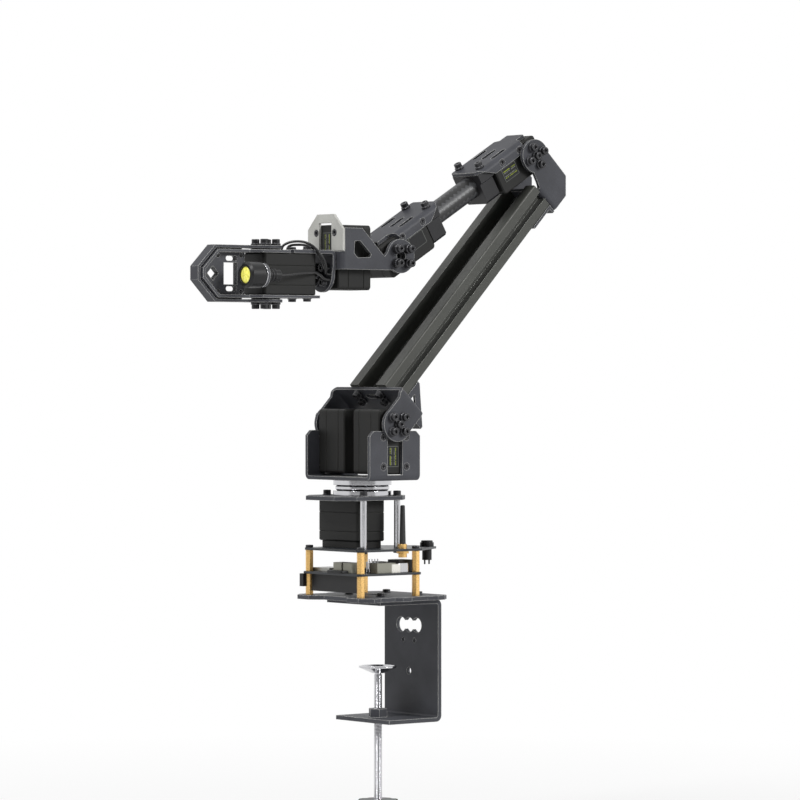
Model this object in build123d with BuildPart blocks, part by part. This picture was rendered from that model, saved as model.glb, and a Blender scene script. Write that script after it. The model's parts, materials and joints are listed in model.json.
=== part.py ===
from build123d import *
import os
from math import atan2, cos, radians, sin, tan

# Desktop robot arm on a table clamp. Millimetres, +X forward, +Z up.
# The origin is on the turntable's axis, at the table surface that the clamp's flange lies on.
# The stored pose folds the arm back: beam leaning back, forearm coming forward, hand level.

os.makedirs("parts", exist_ok=True)

# Links and stored pose
shoulder_z = 126.06
beam_reach = 236.82
beam_offset = 30.0
forearm_reach = 144.49
roll_drop = 13.69
roll_reach = 49.7
jaw_reach = 103.5
beam_tilt = 46.04
forearm_tilt = 30.8

# Servo case, horn and shaft
case_len = 45.2
case_w = 24.7
case_t = 29.0
axis_inset = 10.3
case_corner = 2.5
case_rim = 0.8
seam_depth = 0.4
seam_width = 0.5
seam_low = -8.0
seam_high = 5.5
shaft_r = 3.0
shaft_len = 5.0
shaft_gap = 0.05
horn_r = 10.0
horn_t = 3.0
horn_pitch = 10.0
lobe_r = 12.0
swing_gap = 0.6

# Sheet metal and screws
sheet = 2.5
thin_sheet = 2.0
bend_r = 1.5
tight_bend = 0.5
screw_r = 1.45
screw_hole_r = 1.6
head_r = 2.75
head_h = 3.0
washer_r = 3.3
washer_h = 1.5
thin_washer = 0.5
flush_r = 2.6
flush_gap = 0.15
pan_r = 2.7
pan_h = 1.8
grip_end = 0.2
fix_x = (8.8, 29.3)
fix_y = case_w / 2 - 2.15
fix_narrow = case_w / 2 - 3.85
fix_depth = 5.0
fix_bottom = 0.5

# Clamp
clamp_t = 3.0
clamp_half = 30.0
clamp_back_x = -47.0
clamp_front_x = 8.0
clamp_drop = 83.0
clamp_arm_x = 0.0
clamp_bend = 3.0
clamp_screw_x = -14.0
clamp_screw_r = 3.0
clamp_screw_low = -138.0
clamp_pad_z = -44.0
clamp_pad_r = 13.5
clamp_pad_h = 3.6
clamp_ball_r = 2.2
clamp_nut_af = 12.0
clamp_nut_h = 6.0
knob_r = 14.0
knob_h = 11.0
knob_scallop = 3.0
pad_hub_r = 4.5
pad_hub_h = 1.5
pad_rim = 1.2
cable_hole_r = 5.3
cable_hole_pitch = 8.7
cable_hole_z = -16.5
small_hole_drop = 10.7
small_hole_pitch = 12.4
low_hole_drop = 32.5
low_hole_r = 2.5
plate_centre_y = -2.6
clamp_bolts = [(x, y) for x in (-36.0, -2.0) for y in (-18.0, 18.0)]

# Base stack
base_t = 3.0
tier_h = 15.0
board_t = 1.6
deck_t = 1.6
column_h = 33.7
column_r = 2.25
top_t = 3.0
board_x = (-28.0, 28.5)
board_half_y = 32.5
post_x = 24.5
post_y = 29.0
post_af = 5.0
stud_r = 1.25
stud_up = 4.0
board_corner = 3.0
header_x = 22.5
header_w = 5.0
header_l = 51.0
header_h = 12.0
base_slot_x = -22.0
base_slot_l = 20.0
base_slot_w = 8.0
deck_slot_l = 18.0
deck_slot_w = 10.0
deck_grip = 5.0
columns_at = [(14.3, 19.3), (-17.5, 17.0), (-17.5, -26.0)]
spacer_inset = 3.0
button_at = (-51.0, 9.0)
button_ring_r = 4.9
button_ring_h = 2.8
button_barrel_r = 3.4
button_barrel_h = 8.0
button_pin = 3.0
button_cap_r = 4.15
button_floor = 0.4
button_travel = 1.2
button_cap_h = 2.3
button_round = 0.5
antenna_at = (-15.2, 26.0)
antenna_r = 3.0
antenna_tail = 4.6
antenna_neck = 3.1
antenna_nut = 8.0
antenna_nut_h = 1.8
antenna_low_r = 2.2
antenna_top_r = 1.6
antenna_h = 27.1
race_r = 20.5
race_bore = 12.5
race_t = 3.5
bearing_h = 11.0
ball_r = 2.4
ball_count = 12
ball_clear = 0.08
hub_clear = 0.1
hub_hole_r = 3.5
cage_t = 2.0
cage_inset = 1.5

# Outlines of the base stack's plates: the base and the deck give their +Y half
base_outline = [
    (23.4, 13.8), (30.9, 21.4), (30.9, 34.5), (23.0, 42.4), (17.5, 42.4), (14.0, 39.0), (2.0, 39.0),
    (-2.5, 42.5), (-10.0, 42.5), (-13.0, 39.5), (-29.0, 37.0), (-36.0, 40.0), (-43.0, 38.0), (-50.0, 32.0),
]
deck_outline = [(28.5, 29.0), (24.5, 33.0), (-27.0, 33.0), (-57.0, 12.0)]
top_outline = [
    (34.0, -20.8), (34.0, 11.2), (22.7, 22.5), (-18.2, 22.5),
    (-29.0, 11.7), (-29.0, -26.0), (-20.0, -35.0), (19.8, -35.0),
]

# Turntable bracket, and the two shoulder servos side by side
bracket_half_x = 22.3
bracket_rise = 34.5
bracket_slot = 6.65
bracket_chamfer = 3.5
servo_outer_y = 34.0
floor_window_pitch = 30.0
floor_window_l = 34.0
floor_window_w = 6.0

# Yokes: U-shaped sheets whose cheeks sit on the horns
yoke_foot = -11.3
yoke_front = 13.5
web_slot_l = 14.0
web_slot_w = 4.0

# Beam
beam_w = 40.0
beam_d = 20.0
beam_centre = 6.1
beam_foot = 22.7
beam_len = 198.3
beam_corner = 1.0
channel_w = 20.5
channel_d = 11.0
groove_mouth = 6.2
groove_lip = 1.7
groove_wide = 9.4
groove_step = 3.2
groove_floor = 4.4
groove_d = 5.4
groove_pitch = 20.0
end_hole_y = 12.6
foot_hole_n = (3.2, 10.2)
head_hole_n = (3.2,)
end_hole_depth = 10.0
nut_l = 9.0
nut_gap = 0.15
foot_screw_u = 14.0
head_screw_u = (7.0, 16.0)
foot_leg = 22.3
foot_reach = 25.0
head_leg = 22.0
head_reach = 10.1
gusset_margin = 4.0

# Forearm tube and its clamp blocks
tube_r = 8.0
tube_wall = 1.2
tube_lift = 2.6
tube_start = 37.0
tube_stop = 36.99
block_len = 13.0
block_half = 12.0
block_ear = 14.4
block_ear_low = 4.0
block_drop = 11.0
block_screw_y = 11.3
block_screw_in = 6.5
plate_tail = -6.0
elbow_flange = (3.4, 45.5)
wrist_flange = (6.6, 47.7)
elbow_nose = 51.0
wrist_nose = 52.5
nose_half = 12.5
nose_taper = 5.5
tail_half = 9.0
flange_low = 6.2
flange_slope = 9.0
flange_fix = (fix_y - 0.2, fix_y)
elbow_fix_x = (8.8, 27.5)
wrist_fix_x = (10.2, 31.5)
plate_slot_w = 4.0
plate_slot_l = 14.0
plate_slot_pitch = 10.3

# Hand
hand_low = 9.9
hand_high = 18.9
front_plate_t = 2.0
front_plate_half = 19.6
front_plate_low = 16.62
front_plate_high = 42.32
plate_bevel = 10.5
plate_window = 19.5
plate_window_w = 14.0
ring_r = 3.9
elbow_turn = 43.3
wrist_turn = -30.8
spacer_tall = 4.0

# Gripper
roll_arm_x = 70.0
roll_half = 13.4
jaw_gap = 1.0
jaw_heel = 18.9
jaw_flat = 45.4
jaw_tip = 58.2
jaw_tip_half = 3.5
jaw_top_start = -11.5
jaw_low_start = -37.0
jaw_arm_half = 13.2
jaw_arm_front = 12.2
jaw_lobe_r = 11.5
jaw_sheet = 2.0
jaw_window = (6.1, 17.7, 7.5)
jaw_diamond = (22.1, 31.6, 5.1)
jaw_slot = (11.2, 9.5, 3.4)
jaw_slot_z = 10.4
jaw_hole_x = (2.9, 22.6)
jaw_hole_z = 12.5
jaw_tip_hole = 35.6
jaw_lip_tip = 7.0
jaw_side_lip = 5.0
tab_half = 6.0
tab_round = 8.2
stem_r = 4.0
lamp_r = 8.9
lamp_y = 22.5
lamp_z = -1.4
lamp_len = 12.0
lens_r = 5.8
lens_t = 2.5
lens_gap = 0.1
lamp_nut_af = 13.0
lamp_nut_h = 1.9
neck_r = 4.6
neck_len = 13.0
neck_rib = 0.6
neck_rib_pitch = 2.4
cable_r = 0.9

# Directions and joint centres that follow from the links
beam_dir = Vector(-cos(radians(beam_tilt)), 0, sin(radians(beam_tilt)))
beam_front = Vector(sin(radians(beam_tilt)), 0, cos(radians(beam_tilt)))
forearm_dir = Vector(cos(radians(forearm_tilt)), 0, -sin(radians(forearm_tilt)))
shoulder = Vector(0, 0, shoulder_z)
elbow = shoulder + beam_dir * beam_reach + beam_front * beam_offset
wrist = elbow + forearm_dir * forearm_reach
roll_z = wrist.Z - roll_drop
jaw_x = wrist.X + jaw_reach

# Heights of the base stack
base_z = clamp_t
board_z = base_z + base_t + tier_h
deck_z = board_z + board_t + tier_h
deck_top = deck_z + deck_t
top_z = deck_top + column_h
race_z = top_z + top_t
floor_z = race_z + bearing_h

# Side planes: x runs along the link, y across it, and the joint axis is the plane's normal
arm_side = Plane(origin=shoulder, x_dir=beam_dir, z_dir=(0, 1, 0))
elbow_side = Plane(origin=elbow, x_dir=forearm_dir, z_dir=(0, -1, 0))
wrist_side = Plane(origin=wrist, x_dir=(1, 0, 0), z_dir=(0, -1, 0))

# Servo places: the normal is the output axis, and x points to the long end of the case
flush_h = flush_r - screw_r
base_servo_place = Plane(origin=(0, 0, top_z - case_t / 2), x_dir=(0, -1, 0), z_dir=(0, 0, 1))
shoulder_mid = servo_outer_y - case_t / 2
shoulder_places = [
    Plane(origin=(0, side * shoulder_mid, shoulder_z), x_dir=(0, 0, -1), z_dir=(0, side, 0))
    for side in (1, -1)
]
elbow_place = elbow_side
wrist_place = Plane(origin=wrist, x_dir=forearm_dir * -1, z_dir=(0, 1, 0))
roll_face_x = wrist.X + roll_reach
roll_place = Plane(origin=(roll_face_x - case_t / 2, 0, roll_z), x_dir=(0, 0, 1), z_dir=(1, 0, 0))
jaw_place = Plane(origin=(jaw_x, 0, roll_z), x_dir=(-1, 0, 0), z_dir=(0, 0, 1))


def at(place, x, y, z=0.0):
    """The place moved to a point given in its own directions."""
    origin = place.origin + place.x_dir * x + place.y_dir * y + place.z_dir * z
    return Plane(origin=origin, x_dir=place.x_dir, z_dir=place.z_dir)


def flipped(place):
    """The same place with its normal reversed."""
    return Plane(origin=place.origin, x_dir=place.x_dir, z_dir=place.z_dir * -1)


def outlet(place, side, rise=0.0):
    """The place on a servo's output face, or with side -1 on its idler face."""
    face = at(place, 0, 0, side * (case_t / 2 + rise))
    return face if side > 0 else flipped(face)


def section(side, up):
    """The plane across a side plane, whose y is the given direction in that side plane."""
    return Plane(origin=side.origin, x_dir=side.z_dir, z_dir=side.z_dir.cross(up))


def servo(place, holes):
    """A servo case in three moulded layers, with a shaft bore in both faces.

    Each hole for a fixing screw is given by its side, and its x and y from the shaft.
    """
    middle = case_len / 2 - axis_inset
    with BuildPart() as case:
        with BuildSketch(place.offset(-case_t / 2)):
            with Locations((middle, 0)):
                RectangleRounded(case_len, case_w, case_corner)
        extrude(amount=case_t)
        along = Axis(place.origin, place.z_dir)
        ends = case.faces().sort_by(along)
        chamfer(ends[0].edges() + ends[-1].edges(), length=case_rim)
        for seam in (seam_low, seam_high):
            with BuildSketch(place.offset(seam)):
                with Locations((middle, 0)):
                    RectangleRounded(case_len + case_rim, case_w + case_rim, case_corner)
                    RectangleRounded(
                        case_len - 2 * seam_depth,
                        case_w - 2 * seam_depth,
                        case_corner - seam_depth,
                        mode=Mode.SUBTRACT,
                    )
            extrude(amount=seam_width, mode=Mode.SUBTRACT)
        for side in (1, -1):
            with BuildSketch(outlet(place, side)):
                Circle(shaft_r + shaft_gap)
            extrude(amount=-shaft_len - shaft_gap, mode=Mode.SUBTRACT)
        for side, x, y in holes:
            with BuildSketch(outlet(at(place, x, y), side)):
                Circle(screw_hole_r)
            extrude(amount=-fix_depth - fix_bottom, mode=Mode.SUBTRACT)
    return case


def horns(places, sides, turn=0.0):
    """Horn discs on servo shafts, each with four screw holes in a square and one in the middle."""
    with BuildPart() as group:
        for place in places:
            for side in sides:
                face = outlet(place, side)
                with BuildSketch(face):
                    Circle(horn_r)
                extrude(amount=horn_t)
                with BuildSketch(face):
                    Circle(shaft_r)
                extrude(amount=-shaft_len)
                with BuildSketch(face.offset(horn_t)):
                    Circle(screw_hole_r)
                extrude(amount=-horn_t - shaft_len / 2, mode=Mode.SUBTRACT)
            drill(horn_screw_places(place, sides, turn, centre=False, wall=0), horn_t)
    return group


def cap_screws(places, grip, washer=washer_h, head=head_r, height=head_h):
    """Socket head screws: each place is under a washer, with the normal out through the head."""
    with BuildPart() as group:
        for place in places:
            with BuildSketch(place):
                Circle(head + washer_r - head_r)
            extrude(amount=washer)
            with BuildSketch(place.offset(washer)):
                Circle(head)
            extrude(amount=height)
            with BuildSketch(place):
                Circle(screw_r)
            extrude(amount=-grip)
    return group


def flush_screws(places, grip):
    """Countersunk screws: each place is on the sheet's face, with the normal out through the head."""
    with BuildPart() as group:
        for place in places:
            with BuildSketch(place):
                Circle(flush_r)
            with BuildSketch(place.offset(-flush_h)):
                Circle(screw_r)
            loft()
            with BuildSketch(place.offset(-flush_h)):
                Circle(screw_r)
            extrude(amount=flush_h - grip)
    return group


def sink(places, depth):
    """Cuts countersunk screw holes into the part being built."""
    for place in places:
        with Locations(place):
            CounterSinkHole(screw_hole_r, flush_r + flush_gap, depth, counter_sink_angle=90)


def drill(places, depth, radius=screw_hole_r):
    """Cuts plain holes into the part being built, from each place against its normal."""
    for place in places:
        with Locations(place):
            Hole(radius, depth)


def horn_holes(places, sides, turn=0.0, centre=screw_hole_r):
    """Cuts the horn's screw pattern through a yoke's cheeks."""
    for place in places:
        spots = horn_screw_places(place, sides, turn, centre=False)
        drill(spots, sheet)
        drill([outlet(place, side, horn_t + sheet) for side in sides], sheet, centre)


def horn_screw_places(place, sides, turn=0.0, centre=True, wall=sheet):
    """Where the horn's screws stand on the outside of a yoke's cheeks."""
    spots = []
    half = horn_pitch / 2
    angle = radians(turn)
    for side in sides:
        face = at(place, 0, 0, side * (case_t / 2 + horn_t + wall))
        for x, y in ((half, half), (half, -half), (-half, half), (-half, -half)):
            spot = at(face, x * cos(angle) - y * sin(angle), x * sin(angle) + y * cos(angle))
            spots.append(spot if side > 0 else flipped(spot))
        if centre:
            spots.append(face if side > 0 else flipped(face))
    return spots


def cords(routes):
    """Cables, each along straight runs joined by arcs as large as the runs allow."""
    with BuildPart() as group:
        for points in routes:
            corners = [Vector(*point) for point in points]
            radii = []
            for before, corner, after in zip(corners, corners[1:], corners[2:]):
                turn = radians((corner - before).get_angle(after - corner))
                run = min((corner - before).length, (after - corner).length)
                radii.append(0.45 * run / tan(turn / 2))
            print("cable arcs", [round(radius, 1) for radius in radii])
            with BuildLine() as route:
                FilletPolyline(*corners, radius=radii)
            with BuildSketch(Plane(origin=route.line @ 0, z_dir=route.line % 0)):
                Circle(cable_r)
            sweep(path=route.line)
    return group


def near(points, x=None, y=None):
    """The sketch corners that lie at the given x or y."""
    if x is not None:
        points = points.filter_by(lambda v: abs(v.X - x) < 0.01)
    if y is not None:
        points = points.filter_by(lambda v: abs(v.Y - y) < 0.01)
    return points


def channel(profile, half, wall, low, high, inner=bend_r):
    """Draws a U of bent sheet that opens downwards, from its inside half width, wall, feet and top."""
    Polygon(
        (-half - wall, low),
        (-half - wall, high),
        (half + wall, high),
        (half + wall, low),
        (half, low),
        (half, high - wall),
        (-half, high - wall),
        (-half, low),
        align=None,
    )
    fillet(near(profile.vertices(), y=high), bend_r + wall)
    for x in (-half, half):
        fillet(near(profile.vertices(), x=x, y=high - wall), inner)


def mirrored_x(points):
    """An outline given by its right half, closed by its mirror image."""
    return [*points, *((-x, y) for x, y in reversed(points))]


def mirrored(points):
    """An outline given by its upper half, closed by its mirror image."""
    return [*points, *((x, -y) for x, y in reversed(points))]


# Clamp bracket: one strip of steel bent into a C, open in front, with the screw's nut welded on
with BuildPart() as clamp_bracket:
    with BuildSketch(Plane.XZ) as strip:
        Polygon(
            (clamp_front_x, 0),
            (clamp_front_x, clamp_t),
            (clamp_back_x, clamp_t),
            (clamp_back_x, -clamp_drop),
            (clamp_arm_x, -clamp_drop),
            (clamp_arm_x, clamp_t - clamp_drop),
            (clamp_back_x + clamp_t, clamp_t - clamp_drop),
            (clamp_back_x + clamp_t, 0),
            align=None,
        )
        fillet(near(strip.vertices(), x=clamp_back_x), clamp_bend + clamp_t / 2)
        fillet(near(strip.vertices(), x=clamp_back_x + clamp_t), clamp_bend / 2)
    extrude(amount=clamp_half, both=True)
    with BuildSketch(Plane.YZ.offset(clamp_back_x)):
        with Locations((plate_centre_y, cable_hole_z)):
            with GridLocations(cable_hole_pitch, 1, 3, 1):
                Circle(cable_hole_r)
        with Locations((plate_centre_y, cable_hole_z - small_hole_drop)):
            with GridLocations(small_hole_pitch, 1, 2, 1):
                Circle(screw_hole_r)
        with Locations((plate_centre_y, cable_hole_z - low_hole_drop)):
            Circle(low_hole_r)
    extrude(amount=clamp_t * 2, both=True, mode=Mode.SUBTRACT)
    with BuildSketch(Plane.XY.offset(-clamp_drop)):
        with Locations((clamp_screw_x, 0)):
            Circle(clamp_screw_r + shaft_gap)
    extrude(amount=clamp_t, mode=Mode.SUBTRACT)
    with BuildSketch(Plane.XY):
        with Locations(*clamp_bolts):
            Circle(screw_hole_r)
    extrude(amount=clamp_t, mode=Mode.SUBTRACT)
    with BuildSketch(Plane.XY.offset(clamp_t - clamp_drop)):
        with Locations((clamp_screw_x, 0)):
            RegularPolygon(clamp_nut_af / 2, 6, major_radius=False)
            Circle(clamp_screw_r + shaft_gap, mode=Mode.SUBTRACT)
    extrude(amount=clamp_nut_h)
clamp_bracket.part.label = "clamp_bracket"
export_step(clamp_bracket.part, "parts/clamp_bracket.step")

# Clamp screw with a ball end, turned by a knob
screw_axis = Plane(origin=(clamp_screw_x, 0, 0))
ball_z = clamp_pad_z - clamp_pad_h / 2
pad_low = clamp_pad_z - clamp_pad_h - pad_hub_h
with BuildPart() as clamp_screw:
    with BuildSketch(screw_axis.offset(clamp_screw_low - knob_h)):
        Circle(clamp_screw_r)
    extrude(amount=pad_low - clamp_screw_low + knob_h)
    with BuildSketch(screw_axis.offset(pad_low)):
        Circle(clamp_ball_r)
    extrude(amount=ball_z - pad_low)
clamp_screw.part.label = "clamp_screw"
export_step(clamp_screw.part, "parts/clamp_screw.step")

with BuildPart() as clamp_knob:
    with BuildSketch(screw_axis.offset(clamp_screw_low - knob_h)):
        Circle(knob_r)
        with PolarLocations(knob_r + knob_scallop / 2, 8):
            Circle(knob_scallop, mode=Mode.SUBTRACT)
        Circle(clamp_screw_r, mode=Mode.SUBTRACT)
    extrude(amount=knob_h)
clamp_knob.part.label = "clamp_knob"
export_step(clamp_knob.part, "parts/clamp_knob.step")

# Swivel pad: a dished disc on the screw's end
with BuildPart() as clamp_pad:
    with BuildSketch(Plane(origin=(clamp_screw_x, 0, 0), x_dir=(1, 0, 0), z_dir=(0, -1, 0))):
        Polygon(
            (0, clamp_pad_z - pad_rim),
            (clamp_pad_r - 3 * pad_rim, clamp_pad_z - pad_rim),
            (clamp_pad_r - pad_rim, clamp_pad_z),
            (clamp_pad_r, clamp_pad_z),
            (clamp_pad_r, clamp_pad_z - pad_rim),
            (pad_hub_r, pad_low),
            (0, pad_low),
            align=None,
        )
    revolve(axis=Axis((clamp_screw_x, 0, 0), (0, 0, 1)))
    with BuildSketch(screw_axis.offset(ball_z)):
        Circle(clamp_ball_r + shaft_gap)
    extrude(amount=-clamp_pad_h - pad_hub_h, mode=Mode.SUBTRACT)
clamp_pad.part.label = "clamp_pad"
export_step(clamp_pad.part, "parts/clamp_pad.step")

# Base plate: waisted sheet with ears at its corners
with BuildPart() as base_plate:
    with BuildSketch(Plane.XY.offset(base_z)):
        Polygon(*mirrored(base_outline), align=None)
        with Locations(*clamp_bolts):
            Circle(screw_hole_r, mode=Mode.SUBTRACT)
        with GridLocations(2 * post_x, 2 * post_y, 2, 2):
            Circle(stud_r + shaft_gap, mode=Mode.SUBTRACT)
        with Locations((clamp_front_x + base_slot_x, 0)):
            SlotOverall(base_slot_l, base_slot_w, rotation=90, mode=Mode.SUBTRACT)
    extrude(amount=base_t)
base_plate.part.label = "base_plate"
export_step(base_plate.part, "parts/base_plate.step")

bolt_places = [Plane(origin=(x, y, base_z + base_t)) for x, y in clamp_bolts]
clamp_bolt_set = cap_screws(bolt_places, base_t + clamp_t - grip_end, thin_washer, height=pan_h)

# Two tiers of hexagonal posts with the driver board between them
with BuildPart() as board_posts:
    with BuildSketch(Plane.XY.offset(base_z + base_t)):
        with GridLocations(2 * post_x, 2 * post_y, 2, 2):
            RegularPolygon(post_af / 2, 6, major_radius=False)
    extrude(amount=tier_h)
    with BuildSketch(Plane.XY.offset(base_z)):
        with GridLocations(2 * post_x, 2 * post_y, 2, 2):
            Circle(stud_r)
    extrude(amount=base_t + tier_h + board_t + stud_up)
    with BuildSketch(Plane.XY.offset(board_z + board_t)):
        with GridLocations(2 * post_x, 2 * post_y, 2, 2):
            RegularPolygon(post_af / 2, 6, major_radius=False)
    extrude(amount=tier_h)
    with BuildSketch(Plane.XY.offset(deck_z)):
        with GridLocations(2 * post_x, 2 * post_y, 2, 2):
            Circle(screw_r + shaft_gap)
    extrude(amount=-deck_grip - shaft_gap, mode=Mode.SUBTRACT)
board_posts.part.label = "board_posts"
export_step(board_posts.part, "parts/board_posts.step")

with BuildPart() as driver_board:
    with BuildSketch(Plane.XY.offset(board_z)):
        with Locations(((board_x[0] + board_x[1]) / 2, 0)):
            RectangleRounded(board_x[1] - board_x[0], 2 * board_half_y, board_corner)
        with GridLocations(2 * post_x, 2 * post_y, 2, 2):
            Circle(stud_r + shaft_gap, mode=Mode.SUBTRACT)
    extrude(amount=board_t)
driver_board.part.label = "driver_board"
export_step(driver_board.part, "parts/driver_board.step")


def blocks(*levels):
    """Plain blocks: each level has rows of the middle's x and y, the size in x and y, and the height."""
    with BuildPart() as group:
        for level, rows in levels:
            for x, y, length, width, height in rows:
                with BuildSketch(Plane.XY.offset(level)):
                    with Locations((x, y)):
                        Rectangle(length, width)
                extrude(amount=height)
    return group


board_top = board_z + board_t
radio_module = blocks((board_top, [(13.5, -20, 16, 20, 2.6)]))
radio_module.part.label = "radio_module"
export_step(radio_module.part, "parts/radio_module.step")

sockets = [(17, -1, 9, 9, 7), (17, 10, 9, 9, 7), (2.5, 25, 16, 10, 7), (-25, -8, 5, 20, 6)]
bus_sockets = blocks((board_top, sockets))
bus_sockets.part.label = "bus_sockets"
export_step(bus_sockets.part, "parts/bus_sockets.step")

terminals = [(board_top, [(-20, 17, 12, 12, 8.5)])]
terminals += [(board_z, [(header_x, 0, header_w, header_l, -header_h), (29, -30.5, 3, 4, -9)])]
board_terminals = blocks(*terminals)
board_terminals.part.label = "board_terminals"
export_step(board_terminals.part, "parts/board_terminals.step")

# Deck over the electronics, with a tail behind that carries the power button
with BuildPart() as deck_plate:
    with BuildSketch(Plane.XY.offset(deck_z)):
        Polygon(*mirrored(deck_outline), align=None)
        with GridLocations(2 * post_x, 2 * post_y, 2, 2):
            Circle(screw_r + shaft_gap, mode=Mode.SUBTRACT)
        with Locations(*columns_at):
            Circle(screw_hole_r, mode=Mode.SUBTRACT)
        with Locations(button_at):
            Circle(button_barrel_r + shaft_gap, mode=Mode.SUBTRACT)
        with Locations(antenna_at):
            Circle(antenna_r + shaft_gap, mode=Mode.SUBTRACT)
        with Locations((0, 0)):
            SlotOverall(deck_slot_l, deck_slot_w, mode=Mode.SUBTRACT)
    extrude(amount=deck_t)
deck_plate.part.label = "deck_plate"
export_step(deck_plate.part, "parts/deck_plate.step")

with BuildPart() as columns:
    with BuildSketch(Plane.XY.offset(deck_top)):
        with Locations(*columns_at):
            Circle(column_r)
            Circle(screw_r + shaft_gap, mode=Mode.SUBTRACT)
    extrude(amount=column_h)
columns.part.label = "columns"
export_step(columns.part, "parts/columns.step")

# Top plate: chamfered octagon that the base servo hangs from
with BuildPart() as top_plate:
    with BuildSketch(Plane.XY.offset(top_z)):
        Polygon(*top_outline, align=None)
        Circle(horn_r + swing_gap, mode=Mode.SUBTRACT)
        with Locations(*columns_at):
            Circle(screw_hole_r, mode=Mode.SUBTRACT)
        with Locations(*((x, -fix_x[1]) for x in (-fix_narrow, fix_narrow))):
            Circle(screw_hole_r, mode=Mode.SUBTRACT)
    extrude(amount=top_t)
top_plate.part.label = "top_plate"
export_step(top_plate.part, "parts/top_plate.step")

top_spots = [*columns_at, (-fix_narrow, -fix_x[1]), (fix_narrow, -fix_x[1])]
top_places = [Plane(origin=(x, y, top_z + top_t)) for x, y in top_spots]
top_screws = cap_screws(top_places, top_t + fix_depth, washer=thin_washer)

post_spots = [(x, y) for x in (-post_x, post_x) for y in (-post_y, post_y)]
deck_places = [Plane(origin=(x, y, deck_top)) for x, y in post_spots]
deck_places += [flipped(Plane(origin=(x, y, deck_z))) for x, y in columns_at]
with BuildPart() as base_screws:
    for place in deck_places:
        with BuildSketch(place):
            Circle(pan_r)
        extrude(amount=pan_h)
        with BuildSketch(place):
            Circle(screw_r)
        extrude(amount=-deck_grip)
    add(clamp_bolt_set.part)
    add(top_screws.part)
base_screws.part.label = "base_screws"
export_step(base_screws.part, "parts/base_screws.step")

base_servo = servo(base_servo_place, [(1, fix_x[1], y) for y in (-fix_narrow, fix_narrow)])
base_servo.part.label = "base_servo"
export_step(base_servo.part, "parts/base_servo.step")

# Spacer that fills the height between the deck and the servo's underside
spacer_h = top_z - case_t - deck_top
with BuildPart() as servo_spacer:
    with BuildSketch(Plane.XY.offset(deck_top)):
        with Locations((0, axis_inset - case_len / 2)):
            RectangleRounded(case_w - spacer_inset, case_len - spacer_inset, case_corner)
            Rectangle(case_w / 3, case_len / 2, mode=Mode.SUBTRACT)
    extrude(amount=spacer_h)
servo_spacer.part.label = "servo_spacer"
export_step(servo_spacer.part, "parts/servo_spacer.step")

# Push button on the deck's tail, with its cap in the ring
button_place = Plane(origin=(*button_at, deck_top))
with BuildPart() as button_body:
    with BuildSketch(button_place):
        Circle(button_ring_r)
    extrude(amount=button_ring_h)
    with BuildSketch(button_place):
        Circle(button_barrel_r)
    extrude(amount=-deck_t - button_barrel_h)
    with BuildSketch(button_place.offset(button_floor)):
        Circle(button_cap_r + shaft_gap)
    extrude(amount=button_ring_h, mode=Mode.SUBTRACT)
    with BuildSketch(button_place.offset(-deck_t - button_barrel_h)):
        with GridLocations(4.0, 1, 2, 1):
            Rectangle(1.0, 0.6)
    extrude(amount=-button_pin)
button_body.part.label = "button_body"
export_step(button_body.part, "parts/button_body.step")

with BuildPart() as button_cap:
    with BuildSketch(button_place.offset(button_floor + button_travel + swing_gap / 2)):
        Circle(button_cap_r)
    extrude(amount=button_cap_h)
    fillet(button_cap.faces().sort_by(Axis.Z)[-1].edges(), button_round)
button_cap.part.label = "button_cap"
export_step(button_cap.part, "parts/button_cap.step")

# Stub antenna on its threaded socket
antenna_place = Plane(origin=(*antenna_at, deck_top))
with BuildPart() as antenna_socket:
    with BuildSketch(antenna_place.offset(-deck_t - antenna_tail)):
        Circle(antenna_r)
    extrude(amount=deck_t + antenna_tail + antenna_neck)
    with BuildSketch(antenna_place.offset(-deck_t)):
        RegularPolygon(antenna_nut / 2, 6, major_radius=False)
    extrude(amount=-antenna_nut_h)
antenna_socket.part.label = "antenna_socket"
export_step(antenna_socket.part, "parts/antenna_socket.step")

with BuildPart() as antenna:
    with BuildSketch(antenna_place.offset(antenna_neck)):
        Circle(antenna_low_r)
    with BuildSketch(antenna_place.offset(antenna_neck + antenna_h)):
        Circle(antenna_top_r)
    loft()
    fillet(antenna.faces().sort_by(Axis.Z)[-1].edges(), antenna_top_r / 2)
antenna.part.label = "antenna"
export_step(antenna.part, "parts/antenna.step")

# Thrust bearing between the top plate and the turntable bracket
ball_z_mid = race_z + bearing_h / 2
groove_r = ball_r + ball_clear
ball_pitch_r = (race_r + race_bore) / 2


def race(level):
    """One grooved washer of the thrust bearing."""
    with BuildPart() as washer:
        with BuildSketch(Plane.XY.offset(level)):
            Circle(race_r)
            Circle(race_bore, mode=Mode.SUBTRACT)
        extrude(amount=race_t)
        with BuildSketch(Plane.XZ):
            with Locations((ball_pitch_r, ball_z_mid)):
                Circle(groove_r)
        revolve(axis=Axis.Z, mode=Mode.SUBTRACT)
    return washer


lower_race = race(race_z)
lower_race.part.label = "lower_race"
export_step(lower_race.part, "parts/lower_race.step")

upper_race = race(floor_z - race_t)
upper_race.part.label = "upper_race"
export_step(upper_race.part, "parts/upper_race.step")

with BuildPart() as ball_cage:
    with BuildSketch(Plane.XY.offset(ball_z_mid - cage_t / 2)):
        Circle(race_r - cage_inset)
        Circle(race_bore + cage_inset, mode=Mode.SUBTRACT)
    extrude(amount=cage_t)
    with PolarLocations(ball_pitch_r, ball_count):
        with Locations((0, 0, ball_z_mid)):
            Sphere(ball_r)
ball_cage.part.label = "ball_cage"
export_step(ball_cage.part, "parts/ball_cage.step")

# Hub inside the bearing, from the servo's horn to the bracket's floor
base_horn = horns([base_servo_place], [1])
base_horn.part.label = "base_horn"
export_step(base_horn.part, "parts/base_horn.step")

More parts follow.
